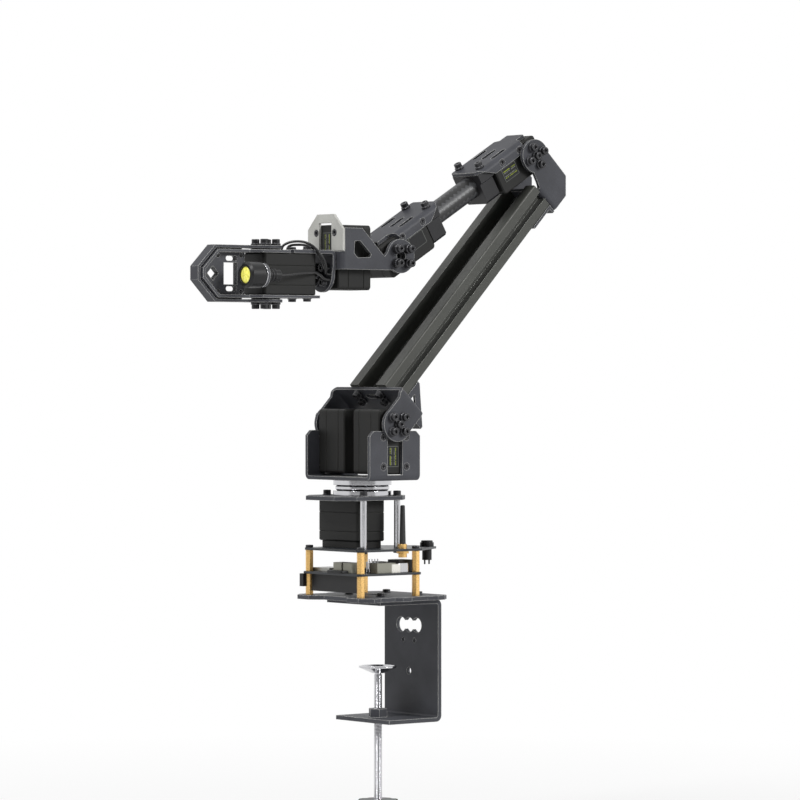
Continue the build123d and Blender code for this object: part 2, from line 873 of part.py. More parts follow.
with BuildPart() as turntable_hub:
    with BuildSketch(Plane.XY.offset(race_z)):
        Circle(race_bore - hub_clear)
        with GridLocations(horn_pitch, horn_pitch, 2, 2):
            Circle(screw_hole_r, mode=Mode.SUBTRACT)
        Circle(hub_hole_r, mode=Mode.SUBTRACT)
    extrude(amount=bearing_h)
turntable_hub.part.label = "turntable_hub"
export_step(turntable_hub.part, "parts/turntable_hub.step")

# Turntable bracket: a floor with two cheeks that hold the shoulder servos
horn_half = horn_pitch / 2
floor_spots = [
    Plane(origin=(x, y, floor_z + sheet)) for x in (-horn_half, horn_half) for y in (-horn_half, horn_half)
]
cheek_spots = []
for place in shoulder_places:
    cheek_spots += [outlet(at(place, x, y), 1, sheet) for x in fix_x for y in (-fix_y, fix_y)]
with BuildPart() as turntable_bracket:
    with BuildSketch(section(Plane.XZ, Vector(0, 0, -1))) as bend:
        channel(bend, servo_outer_y, sheet, -floor_z - bracket_rise, -floor_z)
    extrude(amount=bracket_half_x, both=True)
    with BuildSketch(Plane.XZ):
        with Locations((0, floor_z + sheet + bend_r + bracket_rise / 2)):
            Rectangle(2 * bracket_slot, bracket_rise)
        with Locations((0, shoulder_z)):
            Circle(horn_r + swing_gap)
    extrude(amount=2 * servo_outer_y, both=True, mode=Mode.SUBTRACT)
    corners = turntable_bracket.edges().filter_by(Axis.Y).group_by(Axis.Z)[-1]
    chamfer(corners.filter_by(lambda edge: abs(edge.center().X) > bracket_half_x - 1), length=bracket_chamfer)
    with BuildSketch(Plane.XY.offset(floor_z)):
        with GridLocations(floor_window_pitch, 1, 2, 1):
            SlotOverall(floor_window_l, floor_window_w, rotation=90)
        Circle(hub_hole_r)
    extrude(amount=sheet, mode=Mode.SUBTRACT)
    sink(floor_spots, sheet)
    sink(cheek_spots, sheet)
turntable_bracket.part.label = "turntable_bracket"
export_step(turntable_bracket.part, "parts/turntable_bracket.step")

shoulder_holes = [(1, x, y) for x in fix_x for y in (-fix_y, fix_y)]
with BuildPart() as shoulder_servos:
    for place in shoulder_places:
        add(servo(place, shoulder_holes).part)
shoulder_servos.part.label = "shoulder_servos"
export_step(shoulder_servos.part, "parts/shoulder_servos.step")

with BuildPart() as turntable_screws:
    add(flush_screws(cheek_spots, sheet + fix_depth).part)
    add(flush_screws(floor_spots, sheet + bearing_h + horn_t - grip_end).part)
turntable_screws.part.label = "turntable_screws"
export_step(turntable_screws.part, "parts/turntable_screws.step")

# Shoulder yoke on the two outer horns, with its web under the beam
with BuildPart() as arm_horns:
    add(horns(shoulder_places, [1]).part)
    add(horns([elbow_place], [1, -1], elbow_turn).part)
arm_horns.part.label = "arm_horns"
export_step(arm_horns.part, "parts/arm_horns.step")

shoulder_half = servo_outer_y + horn_t
foot_web = Plane(origin=shoulder + beam_dir * (beam_foot - sheet), x_dir=(0, 1, 0), z_dir=beam_dir * -1)
foot_spots = [at(foot_web, side * end_hole_y, n) for side in (1, -1) for n in foot_hole_n]
with BuildPart() as shoulder_yoke:
    with BuildSketch(arm_side):
        Polygon(
            (lobe_r / 3, yoke_foot),
            (beam_foot, yoke_foot),
            (beam_foot, yoke_front),
            (beam_foot - 4.7, yoke_front),
            (beam_foot - 8.0, lobe_r - 0.4),
            (lobe_r / 4, lobe_r - 0.4),
            (0, 0),
            align=None,
        )
        Circle(lobe_r)
    extrude(amount=shoulder_half + sheet, both=True)
    with BuildSketch(section(arm_side, beam_dir)) as bend:
        channel(bend, shoulder_half, sheet, -2 * lobe_r, beam_foot)
    extrude(amount=2 * lobe_r, both=True, mode=Mode.INTERSECT)
    horn_holes(shoulder_places, [1])
    drill(foot_spots, sheet)
    with BuildSketch(foot_web):
        with Locations((0, (foot_hole_n[0] + foot_hole_n[1]) / 2)):
            SlotOverall(web_slot_l, web_slot_w)
    extrude(amount=-sheet, mode=Mode.SUBTRACT)
shoulder_yoke.part.label = "shoulder_yoke"
export_step(shoulder_yoke.part, "parts/shoulder_yoke.step")

shoulder_spots = []
for place in shoulder_places:
    shoulder_spots += horn_screw_places(place, [1])
# Beam: extruded aluminium, open in front and slotted on its sides and back
beam_back = beam_centre - beam_d / 2
beam_top = beam_foot + beam_len
beam_section = section(arm_side, beam_front)
head_web = Plane(origin=shoulder + beam_dir * (beam_top + sheet), x_dir=(0, -1, 0), z_dir=beam_dir)
head_spots = [at(head_web, side * end_hole_y, n) for side in (1, -1) for n in head_hole_n]
groove = [
    (groove_mouth / 2, 1.0),
    (groove_mouth / 2, -groove_lip),
    (groove_wide / 2, -groove_lip),
    (groove_wide / 2, -groove_step),
    (groove_floor / 2, -groove_d),
]
groove += [(-x, y) for x, y in reversed(groove)]
groove_at = [(-groove_pitch / 2, beam_back, 180), (groove_pitch / 2, beam_back, 180)]
groove_at += [(beam_w / 2, beam_centre, -90), (-beam_w / 2, beam_centre, 90)]
with BuildPart() as beam:
    with BuildSketch(beam_section.offset(-beam_foot)):
        with Locations((0, beam_centre)):
            RectangleRounded(beam_w, beam_d, beam_corner)
        with Locations((0, beam_centre + beam_d / 2 - channel_d / 2)):
            Rectangle(channel_w, channel_d, mode=Mode.SUBTRACT)
        for x, y, turn in groove_at:
            with Locations((x, y)):
                Polygon(*groove, rotation=turn, align=None, mode=Mode.SUBTRACT)
    extrude(amount=-beam_len)
    drill([at(place, 0, 0, -sheet) for place in foot_spots + head_spots], end_hole_depth + grip_end)
beam.part.label = "beam"
export_step(beam.part, "parts/beam.step")


def angle_bracket(start, way, leg, reach, spots, gusset):
    """An angle in the corner behind the beam: one leg along its back, the other across its end."""
    back = beam_back
    with BuildPart() as angle:
        with BuildSketch(arm_side):
            Polygon(
                (start, back),
                (start, back - reach),
                (start + way * thin_sheet, back - reach),
                (start + way * thin_sheet, back - thin_sheet),
                (start + way * leg, back - thin_sheet),
                (start + way * leg, back),
                align=None,
            )
        extrude(amount=beam_w / 2, both=True)
        if gusset:
            for side in (1, -1):
                with BuildSketch(arm_side.offset(side * beam_w / 2)):
                    Polygon(
                        (start, back),
                        (start, back - reach),
                        (start + way * thin_sheet, back - reach),
                        (start + way * leg, back - thin_sheet),
                        (start + way * leg, back),
                        align=None,
                    )
                    Polygon(
                        (start + way * gusset_margin, back - gusset_margin),
                        (start + way * gusset_margin, back - reach + 2.2 * gusset_margin),
                        (start + way * (leg - 2.2 * gusset_margin), back - gusset_margin),
                        align=None,
                        mode=Mode.SUBTRACT,
                    )
                extrude(amount=-side * thin_sheet)
        drill(spots, thin_sheet)
    return angle


back_spots = [
    Plane(
        origin=shoulder + beam_dir * u + beam_front * (beam_back - thin_sheet) + Vector(0, y, 0),
        x_dir=(0, 1, 0),
        z_dir=beam_front * -1,
    )
    for u in (beam_foot + foot_screw_u, *(beam_top - u for u in head_screw_u))
    for y in (-groove_pitch / 2, groove_pitch / 2)
]
with BuildPart() as beam_brackets:
    add(angle_bracket(beam_foot, 1, foot_leg, foot_reach, back_spots[:2], True).part)
    add(angle_bracket(beam_top, -1, head_leg, head_reach + beam_back, back_spots[2:], False).part)
beam_brackets.part.label = "beam_brackets"
export_step(beam_brackets.part, "parts/beam_brackets.step")

# Nuts in the beam's back grooves
with BuildPart() as beam_nuts:
    for place in back_spots:
        with BuildSketch(place.offset(-thin_sheet - groove_lip)):
            Rectangle(groove_wide - 2 * nut_gap, nut_l)
            Circle(screw_hole_r, mode=Mode.SUBTRACT)
        extrude(amount=groove_lip - groove_step + nut_gap)
beam_nuts.part.label = "beam_nuts"
export_step(beam_nuts.part, "parts/beam_nuts.step")

# Elbow yoke on the beam's head
elbow_half = case_t / 2 + horn_t
elbow_u = beam_reach
elbow_n = beam_offset
with BuildPart() as elbow_yoke:
    with BuildSketch(arm_side):
        Polygon(
            (beam_top, -head_reach),
            (elbow_u, -head_reach),
            (elbow_u + 10.5, 0),
            (elbow_u + 10.5, elbow_n - 6),
            (elbow_u, elbow_n),
            (elbow_u - 9.6, elbow_n - 7.2),
            (beam_top + sheet, yoke_front - 2.5),
            (beam_top, yoke_front - 2.5),
            align=None,
        )
        with Locations((elbow_u, elbow_n)):
            Circle(lobe_r)
    extrude(amount=elbow_half + sheet, both=True)
    with BuildSketch(section(arm_side, beam_dir * -1)) as bend:
        channel(bend, elbow_half, sheet, -elbow_u - 2 * lobe_r, -beam_top)
    extrude(amount=elbow_n + 2 * lobe_r, both=True, mode=Mode.INTERSECT)
    horn_holes([elbow_place], [1, -1], elbow_turn)
    drill(head_spots, sheet)
elbow_yoke.part.label = "elbow_yoke"
export_step(elbow_yoke.part, "parts/elbow_yoke.step")

elbow_spots = horn_screw_places(elbow_place, [1, -1], elbow_turn)
back_grip = thin_sheet + groove_step + grip_end
with BuildPart() as arm_screws:
    add(cap_screws(shoulder_spots + elbow_spots, sheet + horn_t - grip_end).part)
    add(cap_screws(foot_spots + head_spots, sheet + end_hole_depth).part)
    add(cap_screws(back_spots, back_grip, thin_washer, height=pan_h).part)
arm_screws.part.label = "arm_screws"
export_step(arm_screws.part, "parts/arm_screws.step")

# Forearm: a servo at each end of a tube, each held by a folded bracket and a clamp block
plate_top = case_w / 2 + sheet


def flange_spots(place, along):
    """Places of the countersunk screws on both flanges of a forearm bracket."""
    spots = []
    for side in (1, -1):
        spots += [outlet(at(place, x, y), side, sheet) for x, y in zip(along, flange_fix)]
    return spots


def block_spots(place, middle):
    """Places of the two cap screws over a clamp block."""
    top = Plane(origin=place.origin, x_dir=place.x_dir, z_dir=place.y_dir).offset(plate_top)
    return [at(top, middle, side * block_screw_y) for side in (1, -1)]


def link_bracket(place, flange, nose, along, middle):
    """A folded bracket: a plate over the servo and the clamp block, and a flange on each servo face."""
    start, stop = flange
    with BuildPart() as bracket:
        with BuildSketch(place):
            Polygon(
                (plate_tail, case_w / 2),
                (start, case_w / 2),
                (start, flange_fix[1] - 1.0),
                (start + 3.0, flange_low),
                (stop - flange_slope, flange_low),
                (stop, case_w / 2),
                (nose, case_w / 2),
                (nose, plate_top),
                (plate_tail, plate_top),
                align=None,
            )
            Circle(horn_r + swing_gap, mode=Mode.SUBTRACT)
        extrude(amount=case_t / 2 + sheet, both=True)
        with BuildSketch(section(place, place.y_dir)) as bend:
            channel(bend, case_t / 2, sheet, 0, plate_top, inner=tight_bend)
        extrude(amount=2 * nose, both=True, mode=Mode.INTERSECT)
        top = Plane(origin=place.origin, x_dir=place.x_dir, z_dir=place.y_dir)
        wide = case_t / 2 + sheet
        with BuildSketch(top):
            Polygon(
                (nose, nose_half),
                (nose - nose_taper, wide),
                (start + 1.0, wide),
                (start - 1.5, tail_half),
                (plate_tail, tail_half),
                (plate_tail, -tail_half),
                (start - 1.5, -tail_half),
                (start + 1.0, -wide),
                (nose - nose_taper, -wide),
                (nose, -nose_half),
                align=None,
            )
        extrude(amount=plate_top + 1.0, mode=Mode.INTERSECT)
        with BuildSketch(top.offset(plate_top)):
            with Locations((middle - block_len / 2 - plate_slot_l, 0)):
                with GridLocations(1, plate_slot_pitch, 1, 3):
                    SlotOverall(plate_slot_l, plate_slot_w)
        extrude(amount=-sheet, mode=Mode.SUBTRACT)
        sink(flange_spots(place, along), sheet)
        drill(block_spots(place, middle), sheet)
    return bracket


def clamp_block(place, middle):
    """A block under the bracket's plate that grips the tube's end."""
    across = section(place, place.y_dir)
    ear = case_w / 2
    with BuildPart() as block:
        with BuildSketch(across.offset(-middle)):
            Polygon(
                *mirrored_x(
                    [
                        (block_half - 2.0, -block_drop),
                        (block_half, -block_drop + 2.0),
                        (block_half, block_ear_low),
                        (block_ear, block_ear_low + 1.5),
                        (block_ear, ear - case_rim),
                        (block_ear - case_rim, ear),
                    ]
                ),
                align=None,
            )
            with Locations((0, tube_lift)):
                Circle(tube_r + shaft_gap, mode=Mode.SUBTRACT)
        extrude(amount=block_len / 2, both=True)
        drill([at(spot, 0, 0, -sheet) for spot in block_spots(place, middle)], block_screw_in + grip_end)
    return block


elbow_middle = tube_start + block_len / 2
wrist_middle = tube_stop + block_len / 2
ends = [
    ("elbow", elbow_place, elbow_flange, elbow_nose, elbow_fix_x, elbow_middle),
    ("wrist", wrist_place, wrist_flange, wrist_nose, wrist_fix_x, wrist_middle),
]
forearm_flush = []
forearm_caps = []
tube_blocks = []
for name, place, flange, nose, along, middle in ends:
    holes = [(side, x, y) for side in (1, -1) for x, y in zip(along, flange_fix)]
    case = servo(place, holes)
    case.part.label = f"{name}_servo"
    export_step(case.part, f"parts/{name}_servo.step")
    bracket = link_bracket(place, flange, nose, along, middle)
    bracket.part.label = f"{name}_bracket"
    export_step(bracket.part, f"parts/{name}_bracket.step")
    tube_blocks.append(clamp_block(place, middle).part)
    forearm_flush += flange_spots(place, along)
    forearm_caps += block_spots(place, middle)

with BuildPart() as forearm_tube:
    with BuildSketch(section(elbow_side, elbow_side.y_dir).offset(-tube_start)):
        with Locations((0, tube_lift)):
            Circle(tube_r)
            Circle(tube_r - tube_wall, mode=Mode.SUBTRACT)
    extrude(amount=tube_start + tube_stop - forearm_reach)
forearm_tube.part.label = "forearm_tube"
export_step(forearm_tube.part, "parts/forearm_tube.step")

with BuildPart() as tube_clamps:
    add(tube_blocks)
tube_clamps.part.label = "tube_clamps"
export_step(tube_clamps.part, "parts/tube_clamps.step")

with BuildPart() as forearm_screws:
    add(flush_screws(forearm_flush, sheet + fix_depth).part)
    add(cap_screws(forearm_caps, sheet + block_screw_in).part)
forearm_screws.part.label = "forearm_screws"
export_step(forearm_screws.part, "parts/forearm_screws.step")

# Hand: a yoke on the wrist's horns that carries the roll servo on its web
wrist_horns = horns([wrist_place], [1, -1], wrist_turn)
wrist_horns.part.label = "wrist_horns"
export_step(wrist_horns.part, "parts/wrist_horns.step")

hand_x = roll_face_x - wrist.X
plate_rise = front_plate_low - roll_drop
web_front = Plane(origin=(roll_face_x + sheet, 0, roll_z), x_dir=(0, 1, 0), z_dir=(1, 0, 0))
plate_front = web_front.offset(front_plate_t - sheet)
hand_spots = [at(web_front, y, fix_x[0]) for y in (-fix_y, fix_y)]
plate_spots = [at(plate_front, y, fix_x[1]) for y in (-fix_y, fix_y)]
with BuildPart() as wrist_yoke:
    with BuildSketch(wrist_side):
        Polygon(
            (hand_x + sheet, -hand_low),
            (hand_x + sheet, plate_rise - swing_gap / 2),
            (hand_x, plate_rise - swing_gap / 2),
            (hand_x, hand_high),
            (hand_x - 15.1, hand_high),
            (14.6, -0.6),
            (8.2, 6.8),
            (0, 0),
            (-9.0, -7.6),
            (-3.7, -hand_low),
            align=None,
        )
        Circle(lobe_r)
        Polygon(
            (hand_x - 8.5, hand_high - 9.2),
            (hand_x - 13.3, hand_high - 8.8),
            (26.6, 0.9),
            (27.5, -1.2),
            (38.6, -1.7),
            (hand_x - 8.0, 1.4),
            align=None,
            mode=Mode.SUBTRACT,
        )
    extrude(amount=elbow_half + sheet, both=True)
    with BuildSketch(section(wrist_side, wrist_side.x_dir)) as bend:
        channel(bend, elbow_half, sheet, -2 * lobe_r, hand_x + sheet)
    extrude(amount=3 * lobe_r, both=True, mode=Mode.INTERSECT)
    drill([web_front], sheet, horn_r + swing_gap)
    horn_holes([wrist_place], [1, -1], wrist_turn, centre=ring_r)
    sink(hand_spots, sheet)
wrist_yoke.part.label = "wrist_yoke"
export_step(wrist_yoke.part, "parts/wrist_yoke.step")

wrist_spots = horn_screw_places(wrist_place, [1, -1], wrist_turn, centre=False)
roll_holes = [(1, x, y) for x in fix_x for y in (-fix_y, fix_y)]
roll_servo = servo(roll_place, roll_holes)
roll_servo.part.label = "roll_servo"
export_step(roll_servo.part, "parts/roll_servo.step")

with BuildPart() as hand_plate:
    with BuildSketch(web_front.offset(-sheet)):
        Polygon(
            *mirrored_x(
                [
                    (front_plate_half, front_plate_low),
                    (front_plate_half, front_plate_high - plate_bevel),
                    (front_plate_half - plate_bevel, front_plate_high),
                ]
            ),
            align=None,
        )
        with Locations((0, front_plate_low + plate_window / 2)):
            Rectangle(plate_window_w, plate_window, mode=Mode.SUBTRACT)
    extrude(amount=front_plate_t)
    sink(plate_spots, front_plate_t)
hand_plate.part.label = "hand_plate"
export_step(hand_plate.part, "parts/hand_plate.step")

with BuildPart() as hand_screws:
    add(cap_screws(wrist_spots, sheet + horn_t - grip_end, washer=spacer_tall).part)
    add(flush_screws(hand_spots + plate_spots, sheet + fix_depth - grip_end).part)
hand_screws.part.label = "hand_screws"
export_step(hand_screws.part, "parts/hand_screws.step")

# Roll bracket: from the roll servo's horn forward over the gripper servo
roll_horn = horns([roll_place], [1])
roll_horn.part.label = "roll_horn"
export_step(roll_horn.part, "parts/roll_horn.step")

bracket_x = roll_face_x + horn_t
roll_side = Plane(origin=(bracket_x, 0, roll_z), x_dir=(1, 0, 0), z_dir=(0, -1, 0))
arm_low = case_t / 2
arm_spots = [at(outlet(jaw_place, 1, sheet), fix_x[1], y) for y in (-fix_narrow, fix_narrow)]
with BuildPart() as roll_bracket:
    with BuildSketch(roll_side) as bend:
        Polygon(
            (0, -lobe_r),
            (0, arm_low + sheet),
            (roll_arm_x - bracket_x, arm_low + sheet),
            (roll_arm_x - bracket_x, arm_low),
            (sheet, arm_low),
            (sheet, -lobe_r),
            align=None,
        )
        fillet(near(near(bend.vertices(), x=0), y=arm_low + sheet), bend_r + sheet)
        fillet(near(near(bend.vertices(), x=sheet), y=arm_low), bend_r)
    extrude(amount=roll_half, both=True)
    with BuildSketch(Plane(origin=(bracket_x, 0, roll_z), x_dir=(0, 1, 0), z_dir=(1, 0, 0))):
        Circle(lobe_r)
        Polygon(
            *mirrored_x([(lobe_r, 0), (roll_half, lobe_r / 2), (roll_half, arm_low + sheet)]),
            align=None,
        )
    extrude(amount=roll_arm_x - bracket_x, mode=Mode.INTERSECT)
    drill(horn_screw_places(roll_place, [1]), sheet)
    drill(arm_spots, sheet)
roll_bracket.part.label = "roll_bracket"
export_step(roll_bracket.part, "parts/roll_bracket.step")

jaw_near = [(side, fix_x[0], y) for side in (1, -1) for y in (-fix_y, fix_y)]
jaw_far = [(side, fix_x[1], y) for side in (1, -1) for y in (-fix_narrow, fix_narrow)]
gripper_servo = servo(jaw_place, jaw_near + jaw_far)
gripper_servo.part.label = "gripper_servo"
export_step(gripper_servo.part, "parts/gripper_servo.step")

# Jaws: trays of bent sheet, the moving one nested outside the fixed one
jaw_half = case_t / 2 + jaw_sheet
jaw_side = Plane(origin=(jaw_x, 0, roll_z), x_dir=(1, 0, 0), z_dir=(0, -1, 0))


def jaw_shape(grow):
    """The jaws' side outline, grown on every edge but the heel."""
    slope = atan2(jaw_half - jaw_tip_half, jaw_tip - jaw_flat)
    first = grow * tan(slope / 2)
    last = grow * tan(radians(45) - slope / 2)
    return mirrored(
        [
            (jaw_heel, jaw_half + grow),
            (jaw_flat + first, jaw_half + grow),
            (jaw_tip + grow, jaw_tip_half + last),
        ]
    )


def jaw_cuts():
    """The openings that both jaws have, drawn in the sketch at hand."""
    start, stop, half = jaw_window
    with Locations(((start + stop) / 2 + jaw_heel, 0)):
        Rectangle(stop - start, 2 * half)
    start, stop, half = jaw_diamond
    middle = (start + stop) / 2
    Polygon(
        (start + jaw_heel, 0),
        (middle + jaw_heel, half),
        (stop + jaw_heel, 0),
        (middle + jaw_heel, -half),
        align=None,
    )
    start, length, width = jaw_slot
    with Locations(*((jaw_heel + start, side * jaw_slot_z) for side in (1, -1))):
        SlotOverall(length, width)
    with Locations(*((jaw_heel + x, side * jaw_hole_z) for x in jaw_hole_x for side in (1, -1))):
        Circle(screw_hole_r)
    with Locations((jaw_heel + jaw_tip_hole, 0)):
        Circle(screw_hole_r)


fixed_flush = [outlet(at(jaw_place, x, y), side, jaw_sheet) for side, x, y in jaw_near]
fixed_pans = [outlet(at(jaw_place, x, y), side, jaw_sheet) for side, x, y in jaw_far if side < 0]
lamp_at = (lamp_y, lamp_z)
heel_face = Plane(origin=(jaw_x + jaw_heel, 0, roll_z), x_dir=(0, 1, 0), z_dir=(1, 0, 0))
with BuildPart() as fixed_jaw:
    with BuildSketch(jaw_side.offset(jaw_sheet / 2)):
        Polygon(*jaw_shape(0), align=None)
    extrude(amount=-jaw_lip_tip - jaw_sheet / 2)
    with BuildSketch(jaw_side.offset(-jaw_sheet / 2)):
        Polygon(*jaw_shape(-jaw_sheet), align=None)
    extrude(amount=-jaw_lip_tip, mode=Mode.SUBTRACT)
    for side, start in ((1, jaw_top_start), (-1, jaw_low_start)):
        with BuildSketch(Plane(origin=(jaw_x, 0, roll_z + side * case_t / 2))):
            Polygon(
                (start, -jaw_arm_half),
                (start, jaw_arm_half),
                (jaw_arm_front, jaw_arm_half),
                (jaw_heel, jaw_lip_tip),
                (jaw_heel, -jaw_sheet / 2),
                (jaw_heel - jaw_sheet, -jaw_sheet / 2),
                (jaw_arm_front, -jaw_arm_half),
                align=None,
            )
            Circle(horn_r + swing_gap, mode=Mode.SUBTRACT)
        extrude(amount=side * jaw_sheet)
    with BuildSketch(jaw_side.offset(jaw_sheet / 2)):
        jaw_cuts()
    extrude(amount=-jaw_sheet, mode=Mode.SUBTRACT)
    with BuildSketch(heel_face):
        with Locations((lamp_y / 2, lamp_z)):
            Rectangle(lamp_y, 2 * tab_half)
        with Locations(lamp_at):
            Circle(tab_round)
            Circle(stem_r + shaft_gap, mode=Mode.SUBTRACT)
    extrude(amount=jaw_sheet)
    sink(fixed_flush, jaw_sheet)
    drill(fixed_pans, jaw_sheet)
fixed_jaw.part.label = "fixed_jaw"
export_step(fixed_jaw.part, "parts/fixed_jaw.step")

roll_spots = horn_screw_places(roll_place, [1])
with BuildPart() as gripper_screws:
    add(cap_screws(roll_spots, sheet + horn_t - grip_end).part)
    add(cap_screws(arm_spots, sheet + fix_depth, thin_washer, height=pan_h).part)
    add(cap_screws(fixed_pans, jaw_sheet + fix_depth, thin_washer, height=pan_h).part)
    add(flush_screws(fixed_flush, jaw_sheet + fix_depth).part)
gripper_screws.part.label = "gripper_screws"
export_step(gripper_screws.part, "parts/gripper_screws.step")

jaw_horns = horns([jaw_place], [1, -1])
jaw_horns.part.label = "jaw_horns"
export_step(jaw_horns.part, "parts/jaw_horns.step")

side_near = -jaw_sheet / 2 - jaw_gap
side_far = side_near - jaw_sheet
with BuildPart() as moving_jaw:
    with BuildSketch(jaw_side.offset(-side_far)):
        Polygon(*jaw_shape(jaw_gap + jaw_sheet), align=None)
    extrude(amount=side_far - jaw_side_lip)
    with BuildSketch(jaw_side.offset(-side_near)):
        Polygon(*jaw_shape(jaw_gap), align=None)
    extrude(amount=side_near - jaw_side_lip, mode=Mode.SUBTRACT)
    for side in (1, -1):
        with BuildSketch(Plane(origin=(jaw_x, 0, roll_z + side * elbow_half))):
            Polygon(
                (0, -jaw_lobe_r),
                (0, jaw_lobe_r),
                (jaw_heel, jaw_side_lip),
                (jaw_heel + jaw_sheet, jaw_side_lip),
                (jaw_heel + jaw_sheet, side_far),
                (jaw_heel, side_far),
                align=None,
            )
            Circle(jaw_lobe_r)
        extrude(amount=side * jaw_sheet)
    with BuildSketch(jaw_side.offset(-side_far)):
        jaw_cuts()
    extrude(amount=-jaw_sheet, mode=Mode.SUBTRACT)
    drill(horn_screw_places(jaw_place, [1, -1], wall=jaw_sheet), jaw_sheet)
moving_jaw.part.label = "moving_jaw"
export_step(moving_jaw.part, "parts/moving_jaw.step")

jaw_spots = horn_screw_places(jaw_place, [1, -1], wall=jaw_sheet)
jaw_screws = cap_screws(jaw_spots, jaw_sheet + horn_t - grip_end)
jaw_screws.part.label = "jaw_screws"
export_step(jaw_screws.part, "parts/jaw_screws.step")

# Lamp on the fixed jaw's tab: a turned body whose stem passes the tab, a nut and a lens
lamp_place = Plane(origin=(jaw_x + jaw_heel, lamp_y, roll_z + lamp_z), x_dir=(0, 1, 0), z_dir=(1, 0, 0))
head_back = jaw_sheet + lamp_nut_h
ribs = int((neck_len - neck_rib_pitch) / neck_rib_pitch)
with BuildPart() as lamp_body:
    with BuildSketch(lamp_place):
        Circle(neck_r - neck_rib)
    extrude(amount=-neck_len)
    with BuildSketch(lamp_place):
        Circle(stem_r)
    extrude(amount=head_back)
    for rib in range(ribs):
        with BuildSketch(lamp_place.offset(-neck_rib_pitch * (rib + 0.2))):
            Circle(neck_r)
        extrude(amount=-neck_rib_pitch / 2)
    with BuildSketch(lamp_place.offset(head_back)):
        Circle(lamp_r)
    extrude(amount=lamp_len)
    rims = lamp_body.faces().sort_by(Axis.X)[-1].edges()
    chamfer(rims, length=lamp_r / 6)
    with BuildSketch(lamp_place.offset(head_back + lamp_len)):
        Circle(lens_r + lens_gap)
    extrude(amount=-lens_t, mode=Mode.SUBTRACT)
lamp_body.part.label = "lamp_body"
export_step(lamp_body.part, "parts/lamp_body.step")

with BuildPart() as lamp_lens:
    with BuildSketch(lamp_place.offset(head_back + lamp_len - lens_t)):
        Circle(lens_r)
    extrude(amount=lens_t)
    fillet(lamp_lens.faces().sort_by(Axis.X)[-1].edges(), lens_t / 2)
lamp_lens.part.label = "lamp_lens"
export_step(lamp_lens.part, "parts/lamp_lens.step")

with BuildPart() as lamp_nut:
    with BuildSketch(lamp_place.offset(jaw_sheet)):
        RegularPolygon(lamp_nut_af / 2, 6, major_radius=False)
        Circle(stem_r + shaft_gap, mode=Mode.SUBTRACT)
    extrude(amount=lamp_nut_h)
lamp_nut.part.label = "lamp_nut"
export_step(lamp_nut.part, "parts/lamp_nut.step")

# Cables between the gripper and the roll bracket, all on the gripper
web_x = bracket_x + sheet
arm_top = roll_z + arm_low + sheet
neck_x = jaw_x + jaw_heel - neck_len
upper_cable = [
    (68.7, -3, arm_top), (68.7, -3, arm_top + 2.7), (64.7, 0.5, arm_top + 5.4), (61.1, 5, arm_top + 6.0),
    (57.5, 9.5, arm_top + 5.3), (54.8, 14, arm_top + 2.8), (50.3, 17.6, arm_top - 3.2),
    (45.8, 17, arm_top - 9.1), (42.4, 13.4, arm_top - 14), (40.8, 10.6, arm_top - 16.7),
    (web_x, 10.6, arm_top - 16.7),
]
lower_cable = [
    (65.3, -1, arm_top), (65.3, -1, arm_top + 1.9), (62.2, -0.3, arm_top + 3.4), (59.3, 1.5, arm_top + 3.6),
    (55.2, 5, arm_top + 3.6), (52.6, 10, arm_top + 2.2), (50.1, 15, arm_top - 3.4),
    (45.9, 14.2, arm_top - 9.1), (42.6, 11.4, arm_top - 12.2), (40.8, 10, arm_top - 12.8),
    (web_x, 10, arm_top - 12.8),
]
servo_cables = cords([upper_cable, lower_cable])
servo_cables.part.label = "servo_cables"
export_step(servo_cables.part, "parts/servo_cables.step")

lamp_run = roll_z + lamp_z
lamp_route = [
    (neck_x, lamp_y, lamp_run), (84, lamp_y, lamp_run), (73, 21, lamp_run + 1.4), (61, 18.4, lamp_run + 2.3),
    (53, 15.6, lamp_run + 2.8), (46.5, 12.2, lamp_run + 1.1), (41, 10.2, lamp_run - 2.2),
    (web_x, 10.2, lamp_run - 2.2),
]
lamp_cable = cords([lamp_route])
lamp_cable.part.label = "lamp_cable"
export_step(lamp_cable.part, "parts/lamp_cable.step")
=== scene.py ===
import json
import math

